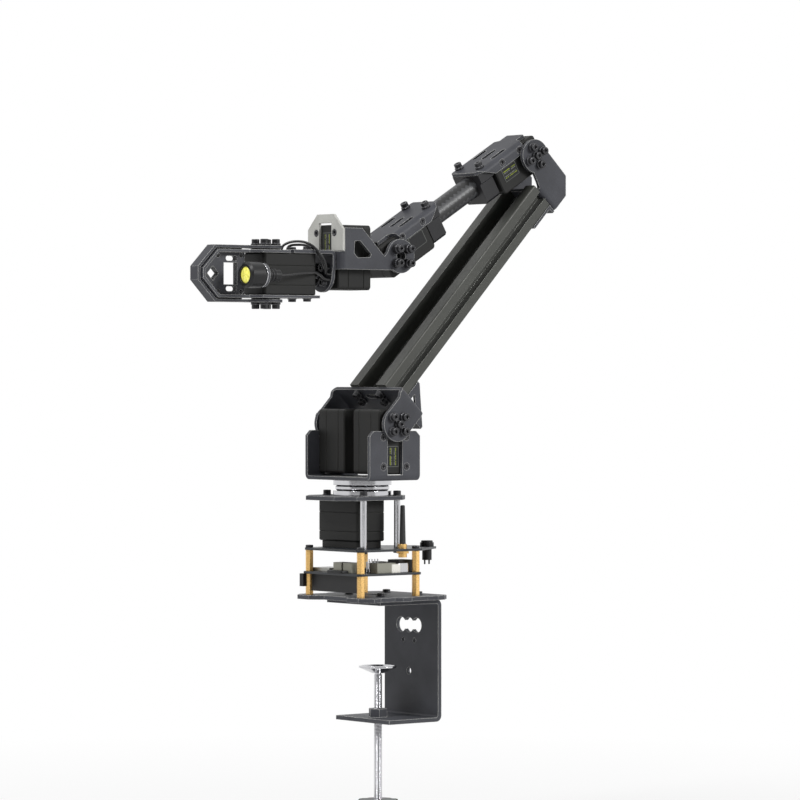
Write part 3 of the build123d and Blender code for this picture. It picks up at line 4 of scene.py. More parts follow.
import bmesh
import bpy
import numpy as np
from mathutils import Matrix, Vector


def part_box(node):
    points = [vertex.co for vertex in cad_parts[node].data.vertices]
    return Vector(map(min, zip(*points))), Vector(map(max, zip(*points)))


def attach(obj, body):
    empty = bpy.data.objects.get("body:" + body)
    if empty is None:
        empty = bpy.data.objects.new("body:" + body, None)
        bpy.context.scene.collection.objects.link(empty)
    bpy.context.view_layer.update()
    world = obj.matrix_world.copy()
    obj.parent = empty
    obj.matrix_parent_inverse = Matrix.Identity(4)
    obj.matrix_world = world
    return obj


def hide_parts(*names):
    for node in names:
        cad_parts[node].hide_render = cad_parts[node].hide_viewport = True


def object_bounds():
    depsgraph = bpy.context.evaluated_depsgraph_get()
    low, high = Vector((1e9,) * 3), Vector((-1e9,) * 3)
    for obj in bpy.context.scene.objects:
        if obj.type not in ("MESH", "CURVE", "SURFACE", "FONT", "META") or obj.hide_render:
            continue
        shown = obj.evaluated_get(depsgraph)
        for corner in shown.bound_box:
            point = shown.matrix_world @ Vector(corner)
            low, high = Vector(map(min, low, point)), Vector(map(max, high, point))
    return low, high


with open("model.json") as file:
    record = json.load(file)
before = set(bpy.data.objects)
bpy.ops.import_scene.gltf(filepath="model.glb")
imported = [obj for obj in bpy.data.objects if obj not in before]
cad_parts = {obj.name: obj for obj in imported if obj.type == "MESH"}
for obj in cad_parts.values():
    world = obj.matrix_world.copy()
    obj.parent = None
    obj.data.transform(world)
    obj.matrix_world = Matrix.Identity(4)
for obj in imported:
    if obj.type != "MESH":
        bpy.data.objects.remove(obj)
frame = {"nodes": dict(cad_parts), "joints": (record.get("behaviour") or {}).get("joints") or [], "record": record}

bl_info = {
    "name": "Desktop robot arm",
    "version": (1, 0, 0),
    "blender": (4, 5, 0),
    "location": "3D View > Sidebar > Arm",
    "description": "Finishes, screws, cables and stage for a clamped desktop robot arm",
    "category": "Add Mesh",
}

CAD_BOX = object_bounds()
MM = 0.001
UP = np.array([0.0, 0.0, 1.0])
JOINTS = {joint["name"]: joint for joint in frame["joints"]}
SHOULDER, ELBOW, WRIST = (np.array(JOINTS[name]["pos_m"]) for name in ("shoulder", "elbow", "wrist"))
BEAM = (ELBOW - SHOULDER) / np.linalg.norm(ELBOW - SHOULDER)
FOREARM = (WRIST - ELBOW) / np.linalg.norm(WRIST - ELBOW)
SIDE = np.array([0.0, 1.0, 0.0])
AHEAD = np.array([1.0, 0.0, 0.0])
BLOTCH = 22.2 * MM
BODY_OF = {node: body for body, nodes in frame["record"]["behaviour"]["bodies"].items() for node in nodes}


def linear(text):
    """The linear colour of an sRGB hex value: each channel to the power that the standard gives."""
    parts = np.array([int(text[i:i + 2], 16) for i in (1, 3, 5)]) / 255
    toned = np.where(parts <= 0.04045, parts / 12.92, ((parts + 0.055) / 1.055) ** 2.4)
    return (*(float(x) for x in toned), 1.0)


def colour(name, text, description):
    """A colour property whose default is an sRGB hex value."""
    return bpy.props.FloatVectorProperty(
        name=name, description=description, subtype="COLOR", size=4, min=0, max=1, default=linear(text)
    )


def length(name, default, description):
    """A length property in metres."""
    return bpy.props.FloatProperty(
        name=name, description=description, subtype="DISTANCE", unit="LENGTH", default=default, min=0
    )


class ArmColours(bpy.types.PropertyGroup):
    """Colours of the arm's finishes"""

    sheet: colour("Bent sheet", "#3E3F44", "Powder coat of the brackets and yokes")
    # Painted light: the sheet's powder coat in a lighter grey for the lit fixed jaw.
    jaw: colour("Jaw sheet", "#46474C", "Powder coat of the fixed jaw")
    plate: colour("Front plate", "#B9B9B4", "Blasted plate on the hand")
    # Colour of the painted highlight that is mixed into rounded edges.
    cut: colour("Edge highlight", "#D6D6D2", "Coating thinned on cut edges")
    case: colour("Servo case", "#1D1D1C", "Moulded servo case")
    beam: colour("Beam", "#41423E", "Anodised beam")
    brass: colour("Brass", "#F0C47C", "Hexagonal posts and the antenna socket")
    steel: colour("Steel", "#C9C9CC", "Bearing, columns and clamp screw")
    screw: colour("Screws", "#2A2A2C", "Black oxide screws")
    board: colour("Board", "#1B2026", "Solder mask")
    shell: colour("Sockets", "#8D8C80", "Moulded bus sockets")
    lens: colour("Lens", "#E8E25E", "Lamp lens")
    cable: colour("Cable", "#161617", "Cable sheath")
    ink: colour("Label ink", "#8C9826", "Bars on the servo labels")


class ArmSizes(bpy.types.PropertyGroup):
    """Sizes of what the frame doesn't hold"""

    edge: length("Edge width", 0.6 * MM, "How far a rounded edge catches the light")
    thread: length("Thread pitch", 1.0 * MM, "Pitch of the clamp screw")
    thread_depth: length("Thread depth", 0.5 * MM, "Depth of the clamp screw's thread")
    key: length("Hex socket", 2.5 * MM, "Across the flats of the cap screws' sockets")
    flat_head: length("Flat head", 6.8 * MM, "Across the heads of the screws at the beam's foot")
    tow: length("Tow width", 3.0 * MM, "Width of the tube's woven tows")
    cable: length("Cable diameter", 1.8 * MM, "Outside of the cables' sheath")


def colours():
    """The colours that the user sets."""
    return bpy.context.scene.arm_colours


def sizes():
    """The sizes that the user sets."""
    return bpy.context.scene.arm_sizes


def add_node(tree, kind, links=(), **settings):
    """Adds a node with its settings; links are pairs of an input and a value or an output to join."""
    made = tree.nodes.new(kind)
    for key, value in settings.items():
        setattr(made, key, value)
    for socket, value in links:
        if isinstance(value, bpy.types.NodeSocket):
            tree.links.new(value, made.inputs[socket])
        else:
            made.inputs[socket].default_value = value
    return made


def surface(
    name, base, rough, grain, bump, cut=None, highlight_share=0.0, vary=0.25, metallic=0.0, coat=0.0, gleam=0.5
):
    """A finish with grain of a real size, uneven tone and gloss, and a painted highlight along its edges.

    An edge is where the normal averaged within the edge width leaves the face's own normal.
    """
    made = bpy.data.materials.get(name)
    if made:
        return made
    made = bpy.data.materials.new(name)
    made.use_nodes = True
    tree = made.node_tree
    shader = tree.nodes["Principled BSDF"]
    place = add_node(tree, "ShaderNodeTexCoord").outputs["Object"]
    fine = add_node(
        tree, "ShaderNodeTexNoise",
        [("Vector", place), ("Scale", 1 / grain), ("Detail", 3.0), ("Roughness", 0.6)]
    ).outputs["Fac"]
    broad = add_node(
        tree, "ShaderNodeTexNoise", [("Vector", place), ("Scale", 1 / BLOTCH), ("Detail", 2.0)]
    ).outputs["Fac"]
    both = add_node(tree, "ShaderNodeMath", [(0, fine), (1, broad)], operation="MULTIPLY")
    darker = tuple(x * (1 - vary) for x in base[:3]) + (1.0,)
    lighter = tuple(min(1, x * (1 + vary)) for x in base[:3]) + (1.0,)
    spread = add_node(
        tree, "ShaderNodeMapRange", [("Value", both.outputs[0]), ("From Min", 0.14), ("From Max", 0.38)]
    ).outputs[0]
    tone = add_node(tree, "ShaderNodeMix", data_type="RGBA")
    tree.links.new(spread, tone.inputs[0])
    tone.inputs[6].default_value = darker
    tone.inputs[7].default_value = lighter
    rounded = add_node(tree, "ShaderNodeBevel", [("Radius", sizes().edge)], samples=6).outputs["Normal"]
    own = add_node(tree, "ShaderNodeNewGeometry").outputs["True Normal"]
    turn = add_node(
        tree, "ShaderNodeVectorMath", [(0, rounded), (1, own)], operation="DOT_PRODUCT"
    ).outputs["Value"]
    # Painted highlight: where the rounded normal turns away from the face's own, the colour is mixed toward the
    # highlight colour, up to the highlight share.
    highlight_mask = add_node(
        tree, "ShaderNodeMapRange",
        [("Value", turn), ("From Min", 0.985), ("From Max", 0.85), ("To Min", 0.0), ("To Max", highlight_share)],
    ).outputs[0]
    highlighted = add_node(tree, "ShaderNodeMix", data_type="RGBA")
    tree.links.new(highlight_mask, highlighted.inputs[0])
    tree.links.new(tone.outputs[2], highlighted.inputs[6])
    highlighted.inputs[7].default_value = cut or lighter
    gloss = add_node(
        tree, "ShaderNodeMapRange",
        [
            ("Value", fine), ("From Min", 0.3), ("From Max", 0.7), ("To Min", rough - 0.07),
            ("To Max", rough + 0.07),
        ],
    ).outputs[0]
    raised = add_node(
        tree, "ShaderNodeBump",
        [("Strength", 0.6), ("Distance", bump), ("Height", fine), ("Normal", rounded)],
    ).outputs["Normal"]
    tree.links.new(highlighted.outputs[2], shader.inputs["Base Color"])
    tree.links.new(gloss, shader.inputs["Roughness"])
    tree.links.new(raised, shader.inputs["Normal"])
    shader.inputs["Metallic"].default_value = metallic
    shader.inputs["Coat Weight"].default_value = coat
    shader.inputs["Coat Roughness"].default_value = 0.15
    shader.inputs["Specular IOR Level"].default_value = gleam
    return made


def powder_coat():
    """Powder-coated steel sheet: baked paint with a fine orange peel, and a pale painted highlight along its
    edges.
    """
    # The pale colour mixed into the edges is a painted highlight.
    return surface(
        "powder_coated_sheet", colours().sheet, 0.5, 0.7 * MM, 0.03 * MM, colours().cut, 0.9, vary=0.2,
        gleam=0.3
    )


def lit_jaw_coat():
    """Powder-coated steel sheet, smoother on the jaw's face, painted a lighter grey than the other sheet parts for
    the light on the fixed jaw, with a pale painted highlight along its edges.
    """
    return surface(
        "lit_powder_coated_jaw", colours().jaw, 0.42, 0.7 * MM, 0.02 * MM, colours().cut, 0.9, vary=0.15,
        gleam=0.35
    )


def blasted_plate():
    """Bead-blasted clear-anodised aluminium: a pale grey of fine bright and dark specks."""
    return surface(
        "bead_blasted_plate", colours().plate, 0.55, 0.6 * MM, 0.03 * MM, colours().plate, 0.3, vary=0.16
    )


def moulded_case():
    """Glass-filled nylon: a warm black with the fine even grain of a spark-eroded mould."""
    # The paler #3C3C38 mixed into the case's edges is a painted highlight.
    return surface(
        "moulded_nylon_case", colours().case, 0.5, 0.5 * MM, 0.02 * MM, linear("#3C3C38"), 0.5, vary=0.12,
        gleam=0.25,
    )


def black_alloy():
    """Black anodised aluminium, machined: dyed oxide over metal, satin with soft highlights."""
    # The grey #6A6A6C mixed into the edges is a painted highlight.
    return surface(
        "black_anodised_block", linear("#242426"), 0.4, 0.4 * MM, 0.008 * MM, linear("#6A6A6C"), 0.6,
        gleam=0.3
    )


def black_oxide():
    """Black oxide steel screws: an oiled blue-black skin, shiny on turned faces."""
    # The grey #77777C mixed into the edges is a painted highlight.
    return surface(
        "black_oxide_steel", colours().screw, 0.3, 0.3 * MM, 0.006 * MM, linear("#77777C"), 0.7,
        metallic=0.35
    )


def ground_steel():
    """Ground and polished steel: fine turning marks, strong reflections."""
    return surface("polished_steel", colours().steel, 0.12, 0.5 * MM, 0.0004 * MM, metallic=1.0, vary=0.03)


def turned_brass():
    """Brass hexagon bar, drawn and lightly lacquered: a warm yellow metal with soft reflections."""
    return surface("drawn_brass", colours().brass, 0.3, 0.6 * MM, 0.003 * MM, metallic=0.75, vary=0.04)


def solder_mask():
    """Glass-epoxy board under dark solder mask: faint tracks' tone below a semi-gloss skin."""
    # The brownish #4B4638 mixed into the edges is a painted highlight.
    return surface(
        "solder_mask_board", colours().board, 0.4, 1.6 * MM, 0.01 * MM, linear("#4B4638"), 0.5, coat=0.1
    )


def socket_nylon():
    """Moulded nylon connector shells, an unpainted grey-green."""
    # The lighter tone mixed into the edges is a painted highlight.
    return surface("nylon_socket_shell", colours().shell, 0.45, 0.5 * MM, 0.01 * MM, vary=0.1, highlight_share=0.4)


def black_nylon():
    """Unfilled black nylon, as in pin headers, knobs and the push button: smooth and faintly glossy."""
    # The grey #4E4E50 mixed into the edges is a painted highlight.
    return surface(
        "black_nylon", linear("#1B1B1C"), 0.38, 0.5 * MM, 0.008 * MM, linear("#4E4E50"), 0.6, vary=0.12,
        gleam=0.3
    )


def white_nylon():
    """Natural nylon of small wire connectors: a milky white."""
    return surface("natural_nylon", linear("#E6E4DC"), 0.4, 0.5 * MM, 0.006 * MM, vary=0.05)


def rubber_sleeve():
    """Moulded rubber sleeve: matt, with a lighter painted highlight along its edges."""
    # The lighter tone mixed into the edges is a painted highlight.
    return surface("rubber_sleeve", linear("#222223"), 0.62, 0.5 * MM, 0.02 * MM, vary=0.15, highlight_share=0.4)


def tinned_can():
    """Tinned sheet cover of a radio module: a dull silver with a soft grain."""
    return surface("tinned_sheet_can", linear("#A9A9A4"), 0.35, 0.8 * MM, 0.006 * MM, metallic=0.9, vary=0.1)


def anodised_beam():
    """Extruded aluminium, satin black anodised: faint die lines run the beam's whole length."""
    # The pale #C9CBC6 mixed into the edges and the grooves' edges is a painted highlight.
    made = surface(
        "anodised_extrusion", colours().beam, 0.36, 0.5 * MM, 0.01 * MM, linear("#C9CBC6"), 0.75,
        vary=0.1
    )
    tree = made.node_tree
    shader = tree.nodes["Principled BSDF"]
    shader.inputs["Metallic"].default_value = 0.3
    die_line = 1.11 * MM
    rounded = next(node for node in tree.nodes if node.bl_idname == "ShaderNodeBevel")
    rounded.inputs["Radius"].default_value = 0.25 * MM
    place = add_node(tree, "ShaderNodeTexCoord").outputs["Object"]
    tilt = math.atan2(BEAM[2], -BEAM[0])
    along = add_node(
        tree, "ShaderNodeMapping",
        [("Vector", place), ("Rotation", (0, -tilt, 0)), ("Scale", (0.01, 1.0, 1.0))],
    ).outputs["Vector"]
    lines = add_node(tree, "ShaderNodeTexNoise", [("Vector", along), ("Scale", 1 / die_line), ("Detail", 2.0)])
    gloss = add_node(
        tree, "ShaderNodeMapRange",
        [
            ("Value", lines.outputs["Fac"]), ("From Min", 0.3), ("From Max", 0.7), ("To Min", 0.3),
            ("To Max", 0.5),
        ],
    )
    tree.links.new(gloss.outputs[0], shader.inputs["Roughness"])
    return made


def woven_carbon():
    """Carbon fibre tube under clear resin: tows woven two over, two under.

    A square of the weave shows its warp where the sum of its column and row, counted in fours, is
    under two. The two directions differ in tone, and the warp stands a little above the weft.
    """
    made = bpy.data.materials.get("woven_carbon_tube")
    if made:
        return made
    made = bpy.data.materials.new("woven_carbon_tube")
    made.use_nodes = True
    tree = made.node_tree
    shader = tree.nodes["Principled BSDF"]
    around = add_node(tree, "ShaderNodeUVMap", uv_map="weave").outputs["UV"]
    skewed = add_node(
        tree, "ShaderNodeMapping", [("Vector", around), ("Rotation", (0, 0, math.radians(45)))]
    ).outputs["Vector"]
    cells = add_node(tree, "ShaderNodeSeparateXYZ", [("Vector", skewed)])
    column = add_node(tree, "ShaderNodeMath", [(0, cells.outputs[0])], operation="FLOOR").outputs[0]
    row = add_node(tree, "ShaderNodeMath", [(0, cells.outputs[1])], operation="FLOOR").outputs[0]
    total = add_node(tree, "ShaderNodeMath", [(0, column), (1, row)], operation="ADD").outputs[0]
    turn = add_node(tree, "ShaderNodeMath", [(0, total), (1, 4.0)], operation="FLOORED_MODULO").outputs[0]
    warp = add_node(tree, "ShaderNodeMath", [(0, turn), (1, 2.0)], operation="LESS_THAN").outputs[0]
    blotch = add_node(
        tree, "ShaderNodeTexNoise", [("Vector", around), ("Scale", 0.7), ("Detail", 3.0)]
    ).outputs["Fac"]
    mixed = add_node(tree, "ShaderNodeMath", [(0, warp), (1, blotch)], operation="MULTIPLY").outputs[0]
    ramp = add_node(tree, "ShaderNodeValToRGB", [("Fac", mixed)])
    ramp.color_ramp.elements[0].color = linear("#121213")
    ramp.color_ramp.elements[1].color = linear("#48494B")
    ramp.color_ramp.elements[1].position = 0.7
    tree.links.new(ramp.outputs["Color"], shader.inputs["Base Color"])
    raised = add_node(
        tree, "ShaderNodeBump", [("Strength", 0.4), ("Distance", 0.05 * MM), ("Height", mixed)]
    )
    tree.links.new(raised.outputs["Normal"], shader.inputs["Normal"])
    shader.inputs["Roughness"].default_value = 0.45
    shader.inputs["Coat Weight"].default_value = 0.2
    shader.inputs["Coat Roughness"].default_value = 0.3
    return made


def tinted_lens():
    """Moulded clear acrylic over a yellow phosphor: a bright lemon yellow with a faint painted glow, and a painted
    highlight on its bubbles.
    """
    # The pale #FBF9D0 mixed into the bubbles' ridges and the rim is a painted highlight.
    made = surface(
        "phosphor_lens", colours().lens, 0.16, 2.0 * MM, 0.12 * MM, linear("#FBF9D0"), 0.6, coat=1.0
    )
    shader = made.node_tree.nodes["Principled BSDF"]
    # Painted glow: a faint yellow emission brightens the lens.
    shader.inputs["Emission Color"].default_value = linear("#F2EC7A")
    shader.inputs["Emission Strength"].default_value = 0.25
    return made


def cable_sheath():
    """Soft vinyl cable sheath: black with a satin sheen and a faint ripple."""
    # The grey #3A3A3C mixed faintly into the edges is a painted highlight.
    return surface(
        "vinyl_sheath", colours().cable, 0.32, 1.2 * MM, 0.02 * MM, linear("#3A3A3C"), 0.2, vary=0.1
    )


def printed_label(name, printed):
    """Printed polyester label: black in a thin grey frame, with rows of plain yellow-green and grey bars.

    A bar shows in a row's middle where white noise, drawn once for each short stretch of it, is high.
    """
    made = bpy.data.materials.get(name)
    if made:
        return made
    made = bpy.data.materials.new(name)
    made.use_nodes = True
    tree = made.node_tree
    shader = tree.nodes["Principled BSDF"]

    def maths(operation, *values):
        return add_node(tree, "ShaderNodeMath", list(enumerate(values)), operation=operation).outputs[0]

    def mixed(factor, first, second):
        node = add_node(tree, "ShaderNodeMix", [(6, first), (7, second)], data_type="RGBA")
        tree.links.new(factor, node.inputs[0])
        return node.outputs[2]

    flat = add_node(tree, "ShaderNodeUVMap", uv_map="label").outputs["UV"]
    parts = add_node(tree, "ShaderNodeSeparateXYZ", [("Vector", flat)])
    across, up = parts.outputs[0], parts.outputs[1]
    aside = maths("ABSOLUTE", maths("SUBTRACT", across, 0.5))
    outer = maths("MAXIMUM", aside, maths("ABSOLUTE", maths("SUBTRACT", up, 0.5)))
    look = mixed(maths("COMPARE", outer, 0.455, 0.014), linear("#121314"), linear("#5C5E5A"))
    if printed:
        rows = maths("MULTIPLY", up, 9.0)
        row = maths("FLOOR", rows)
        band = maths("COMPARE", maths("FRACT", rows), 0.5, 0.26)
        stretch = maths("FLOOR", maths("MULTIPLY", across, 30.0))
        spot = add_node(tree, "ShaderNodeCombineXYZ", [("X", stretch), ("Y", row)]).outputs[0]
        noise = add_node(
            tree, "ShaderNodeTexWhiteNoise", [("Vector", spot)], noise_dimensions="2D"
        ).outputs["Value"]
        bar = maths(
            "MULTIPLY", maths("MULTIPLY", band, maths("GREATER_THAN", noise, 0.3)),
            maths("LESS_THAN", outer, 0.39)
        )
        bright = maths("MAXIMUM", maths("COMPARE", row, 2.0, 0.1), maths("COMPARE", row, 6.0, 0.1))
        dim = maths("MAXIMUM", maths("COMPARE", row, 3.0, 0.1), maths("COMPARE", row, 5.0, 0.1))
        look = mixed(maths("MULTIPLY", bar, dim), look, linear("#6E706C"))
        look = mixed(maths("MULTIPLY", bar, bright), look, colours().ink)
    tree.links.new(look, shader.inputs["Base Color"])
    shader.inputs["Roughness"].default_value = 0.4
    shader.inputs["Specular IOR Level"].default_value = 0.3
    return made


def grid_quads(rows, columns, ring=True, loop=False):
    """The quads of a grid of points, closed round its columns, and round its rows too for a loop."""
    down = np.arange(rows if loop else rows - 1)
    across = np.arange(columns if ring else columns - 1)
    i, j = np.meshgrid(down, across, indexing="ij")
    i2, j2 = (i + 1) % rows, (j + 1) % columns
    corners = [i * columns + j, i * columns + j2, i2 * columns + j2, i2 * columns + j]
    return np.stack(corners, -1).reshape(-1, 4)


def turned(radii, heights, hexed, steps=24):
    """A profile carried round the Z axis: each row is a circle, or a hexagon of that inner radius.

    A hexagon's radius is its inner radius over the cosine of the angle from the nearest flat's middle.
    """
    angle = np.arange(steps) * 2 * np.pi / steps
    flat = 1 / np.cos((angle % (np.pi / 3)) - np.pi / 6)
    shape = np.where(np.asarray(hexed)[:, None], flat[None, :], 1.0)
    radius = np.asarray(radii)[:, None] * shape
    x = radius * np.cos(angle)
    y = radius * np.sin(angle)
    z = np.broadcast_to(np.asarray(heights)[:, None], x.shape)
    return np.stack([x, y, z], -1).reshape(-1, 3)


def set_up(points, origin, axis):
    """Points moved so that their Z axis is the axis at the origin."""
    axis = np.asarray(axis, float) / np.linalg.norm(axis)
    side = np.cross(axis, UP if abs(axis[2]) < 0.9 else AHEAD)
    side /= np.linalg.norm(side)
    other = np.cross(axis, side)
    return np.asarray(origin) + points[:, :1] * side + points[:, 1:2] * other + points[:, 2:] * axis


def join(parts):
    """Several (points, quads) as one."""
    points, quads, start = [], [], 0
    for some, faces in parts:
        points.append(some)
        quads.append(faces + start)
        start += len(some)
    return np.concatenate(points), np.concatenate(quads)


def make_piece(name, points, quads, body, slot, material, smooth=True, uv=None):
    """A mesh object from arrays, with its seams and poles merged and its normals turned outwards."""
    mesh = bpy.data.meshes.new(name)
    mesh.from_pydata(points.tolist(), [], quads.tolist())
    if uv is not None:
        layer = mesh.uv_layers.new(name=uv[0])
        layer.data.foreach_set("uv", uv[1].astype(np.float32).ravel())
    work = bmesh.new()
    work.from_mesh(mesh)
    bmesh.ops.remove_doubles(work, verts=work.verts, dist=1e-7)
    bmesh.ops.dissolve_degenerate(work, edges=work.edges, dist=1e-8)
    bmesh.ops.recalc_face_normals(work, faces=work.faces)
    work.to_mesh(mesh)
    work.free()
    mesh.materials.append(material)
    if smooth:
        mesh.shade_smooth()
        mesh.set_sharp_from_angle(angle=math.radians(32))
    made = bpy.data.objects.new(name, mesh)
    bpy.context.scene.collection.objects.link(made)
    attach(made, body)
    return made


def islands(node):
    """The points of each separate solid of a CAD node, found by spreading the lowest label over faces."""
    mesh = frame["nodes"][node].data
    points = np.empty(len(mesh.vertices) * 3)
    mesh.vertices.foreach_get("co", points)
    points = points.reshape(-1, 3)
    mesh.calc_loop_triangles()
    corners = np.empty(len(mesh.loop_triangles) * 3, dtype=np.int64)
    mesh.loop_triangles.foreach_get("vertices", corners)
    keys = np.round(points * 1e6).astype(np.int64)
    _, first, same = np.unique(keys, axis=0, return_index=True, return_inverse=True)
    same = same.ravel()
    faces = same[corners].reshape(-1, 3)
    label = np.arange(len(first))
    while True:
        low = label[faces].min(axis=1)
        fresh = label.copy()
        np.minimum.at(fresh, faces.ravel(), np.repeat(low, 3))
        fresh = fresh[fresh]
        if (fresh == label).all():
            break
        label = fresh
    spots = points[first]
    return [(spots[label == name], faces[label[faces[:, 0]] == name], spots) for name in np.unique(label)]


def screw_axis(faces, spots):
    """A screw's direction: flat ends make one eigenvalue of the face normals differ from the other two."""
    a, b, c = spots[faces[:, 0]], spots[faces[:, 1]], spots[faces[:, 2]]
    cross = np.cross(b - a, c - a)
    size = np.linalg.norm(cross, axis=1, keepdims=True)
    normal = cross / np.maximum(size, 1e-15)
    values, vectors = np.linalg.eigh((normal * size).T @ normal)
    return vectors[:, 2] if values[2] - values[1] > values[1] - values[0] else vectors[:, 0]


def screw_parts(points, faces, spots):
    """A detailed screw in the place of one plain CAD screw.

    Its profile runs from the shank's end out over the head's chamfer and down into a hexagon socket. A
    screw along the beam at its foot has a wide flat head.
    """
    axis = screw_axis(faces, spots)
    height = points @ axis
    centre = (points - height[:, None] * axis).mean(axis=0)
    radius = np.linalg.norm(points - height[:, None] * axis - centre, axis=1)
    if radius[height > height.max() - 1e-5].max() < radius[height < height.min() + 1e-5].max():
        axis, height = -axis, -height
    top = height.max()
    head = radius[height > top - 1e-5].max()
    at_head = height[np.abs(radius - head) < 3e-5]
    under = at_head.min()
    end = height.min()
    shank = radius[height < end + 1e-5].max()
    flush = top - under < 1e-5
    if abs(axis @ BEAM) > 0.999 and points[:, 2].max() < 0.16:
        head, top = sizes().flat_head / 2, under + 1.6 * MM
    key = sizes().key / 2 * min(1.0, head / (2.75 * MM))
    edge = 0.3 * MM
    if flush:
        under = top - (head - shank)
        radii = [0, shank, shank, head - edge / 2, head - edge / 2, key, key, 0]
        levels = [end, end, under, top - edge / 2, top, top, top - 1.2 * MM, top - 1.6 * MM]
        hexed = [False] * 5 + [True, True, False]
    else:
        deep = min(1.7 * MM, 0.6 * (top - under))
        radii = [0, shank, shank, head, head, head - edge, key, key, 0]
        levels = [end, end, under, under, top - edge, top, top, top - deep, top - deep - 0.3 * MM]
        hexed = [False] * 6 + [True, True, False]
    parts = [(set_up(turned(radii, levels, hexed), centre, axis), grid_quads(len(radii), 24))]
    wide = radius.max()
    if wide > head + 0.1 * MM:
        ring = height[np.abs(radius - wide) < 3e-5]
        low, high = ring.min(), ring.max()
        soft = min(0.2 * MM, (high - low) / 3)
        radii = [shank, wide - soft, wide, wide, wide - soft, shank]
        levels = [low, low, low + soft, high - soft, high, high]
        parts.append((set_up(turned(radii, levels, [False] * 6), centre, axis), grid_quads(6, 24)))
    return join(parts)


class ARM_OT_paint(bpy.types.Operator):
    """Give every CAD node the finish of its real material"""

    bl_idname = "arm.paint"
    bl_label = "Finish the plain parts"

    def execute(self, context):
        finishes = {
            powder_coat: [
                "clamp_bracket", "base_plate", "top_plate", "turntable_bracket", "shoulder_yoke",
                "elbow_yoke", "beam_brackets", "elbow_bracket", "wrist_bracket", "wrist_yoke",
                "roll_bracket", "moving_jaw",
            ],
            lit_jaw_coat: ["fixed_jaw"],
            blasted_plate: ["hand_plate"],
            moulded_case: [
                "base_servo", "shoulder_servos", "elbow_servo", "wrist_servo", "roll_servo", "gripper_servo",
                "servo_spacer",
            ],
            black_alloy: [
                "base_horn", "arm_horns", "wrist_horns", "roll_horn", "jaw_horns", "turntable_hub",
                "tube_clamps",
            ],
            ground_steel: [
                "lower_race", "upper_race", "ball_cage", "columns", "clamp_pad", "lamp_nut", "beam_nuts",
            ],
            turned_brass: ["board_posts", "antenna_socket"],
            solder_mask: ["driver_board", "deck_plate"],
            tinned_can: ["radio_module"],
            socket_nylon: ["bus_sockets"],
            black_nylon: ["board_terminals", "clamp_knob", "button_cap", "button_body", "lamp_body"],
            rubber_sleeve: ["antenna"],
            anodised_beam: ["beam"],
        }
        for finish, nodes in finishes.items():
            material = finish()
            for node in nodes:
                for slot in frame["nodes"][node].material_slots:
                    slot.material = material
        return {"FINISHED"}


class ARM_OT_screws(bpy.types.Operator):
    """Socket screws with chamfered heads and washers in the place of the plain ones"""

    bl_idname = "arm.screws"
    bl_label = "Screws"

    def execute(self, context):
        plain = [node for node in frame["nodes"] if node.endswith("_screws")]
        if not plain:
            raise RuntimeError("The frame holds no screws")
        for node in plain:
            points, quads = join([screw_parts(*island) for island in islands(node)])
            name = node.replace("_screws", "_socket_screws")
            made = make_piece(name, points, quads, BODY_OF[node], "screw_steel", black_oxide())
            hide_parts(node)
        return {"FINISHED"}


class ARM_OT_clamp_screw(bpy.types.Operator):
    """The clamp's screw with its helical thread"""

    bl_idname = "arm.clamp_screw"
    bl_label = "Clamp screw"

    def execute(self, context):
        low, high = (np.array(corner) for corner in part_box("clamp_screw"))
        crest = (high[1] - low[1]) / 2
        middle = (low + high) / 2
        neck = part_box("clamp_pad")[0][2] - 1.0 * MM
        pitch, depth = sizes().thread, sizes().thread_depth
        steps = 24
        level = np.arange(low[2] + pitch, neck, pitch / 8)
        angle = np.arange(steps) * 2 * np.pi / steps
        turn = (level[:, None] - low[2]) / pitch - angle[None, :] / (2 * np.pi)
        wave = np.abs(2 * (turn % 1.0) - 1)
        radius = crest - depth * (1 - wave)
        core = np.full((1, steps), 2.2 * MM)
        pole = np.zeros((1, steps))
        rows = np.concatenate([pole, core, radius, core, core, pole])
        heights = np.concatenate([[low[2]], [low[2]], level, [neck], [high[2]], [high[2]]])
        x = middle[0] + rows * np.cos(angle)
        y = middle[1] + rows * np.sin(angle)
        z = np.broadcast_to(heights[:, None], x.shape)
        points = np.stack([x, y, z], -1).reshape(-1, 3)
        made = make_piece(
            "threaded_screw", points, grid_quads(len(heights), steps), "clamp_screw", "bearing_steel",
            ground_steel()
        )
        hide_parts("clamp_screw")
        return {"FINISHED"}


class ARM_OT_tube(bpy.types.Operator):
    """The forearm's woven carbon tube"""

    bl_idname = "arm.tube"
    bl_label = "Carbon tube"

    def execute(self, context):
        lift = np.cross(FOREARM, SIDE) * -2.6 * MM
        outer, wall, start, end, steps = 8 * MM, 1.2 * MM, 37 * MM, 107.5 * MM, 48
        radii = np.array([outer - wall, outer, outer, outer - wall])
        levels = np.array([start, start, end, end])
        points = set_up(turned(radii, levels, [False] * 4, steps), ELBOW + np.sign(lift[2]) * lift, FOREARM)
        quads = grid_quads(4, steps, loop=True)
        tow = sizes().tow
        column = quads % steps
        wrapped = np.where((column == 0) & (column.max(axis=1, keepdims=True) == steps - 1), steps, column)
        u = wrapped * (2 * np.pi * outer / steps) / tow
        v = levels[(quads // steps) % 4] / tow
        made = make_piece(
            "woven_tube", points, quads, "forearm", "carbon_tube", woven_carbon(),
            uv=("weave", np.stack([u, v], -1))
        )
        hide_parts("forearm_tube")
        return {"FINISHED"}


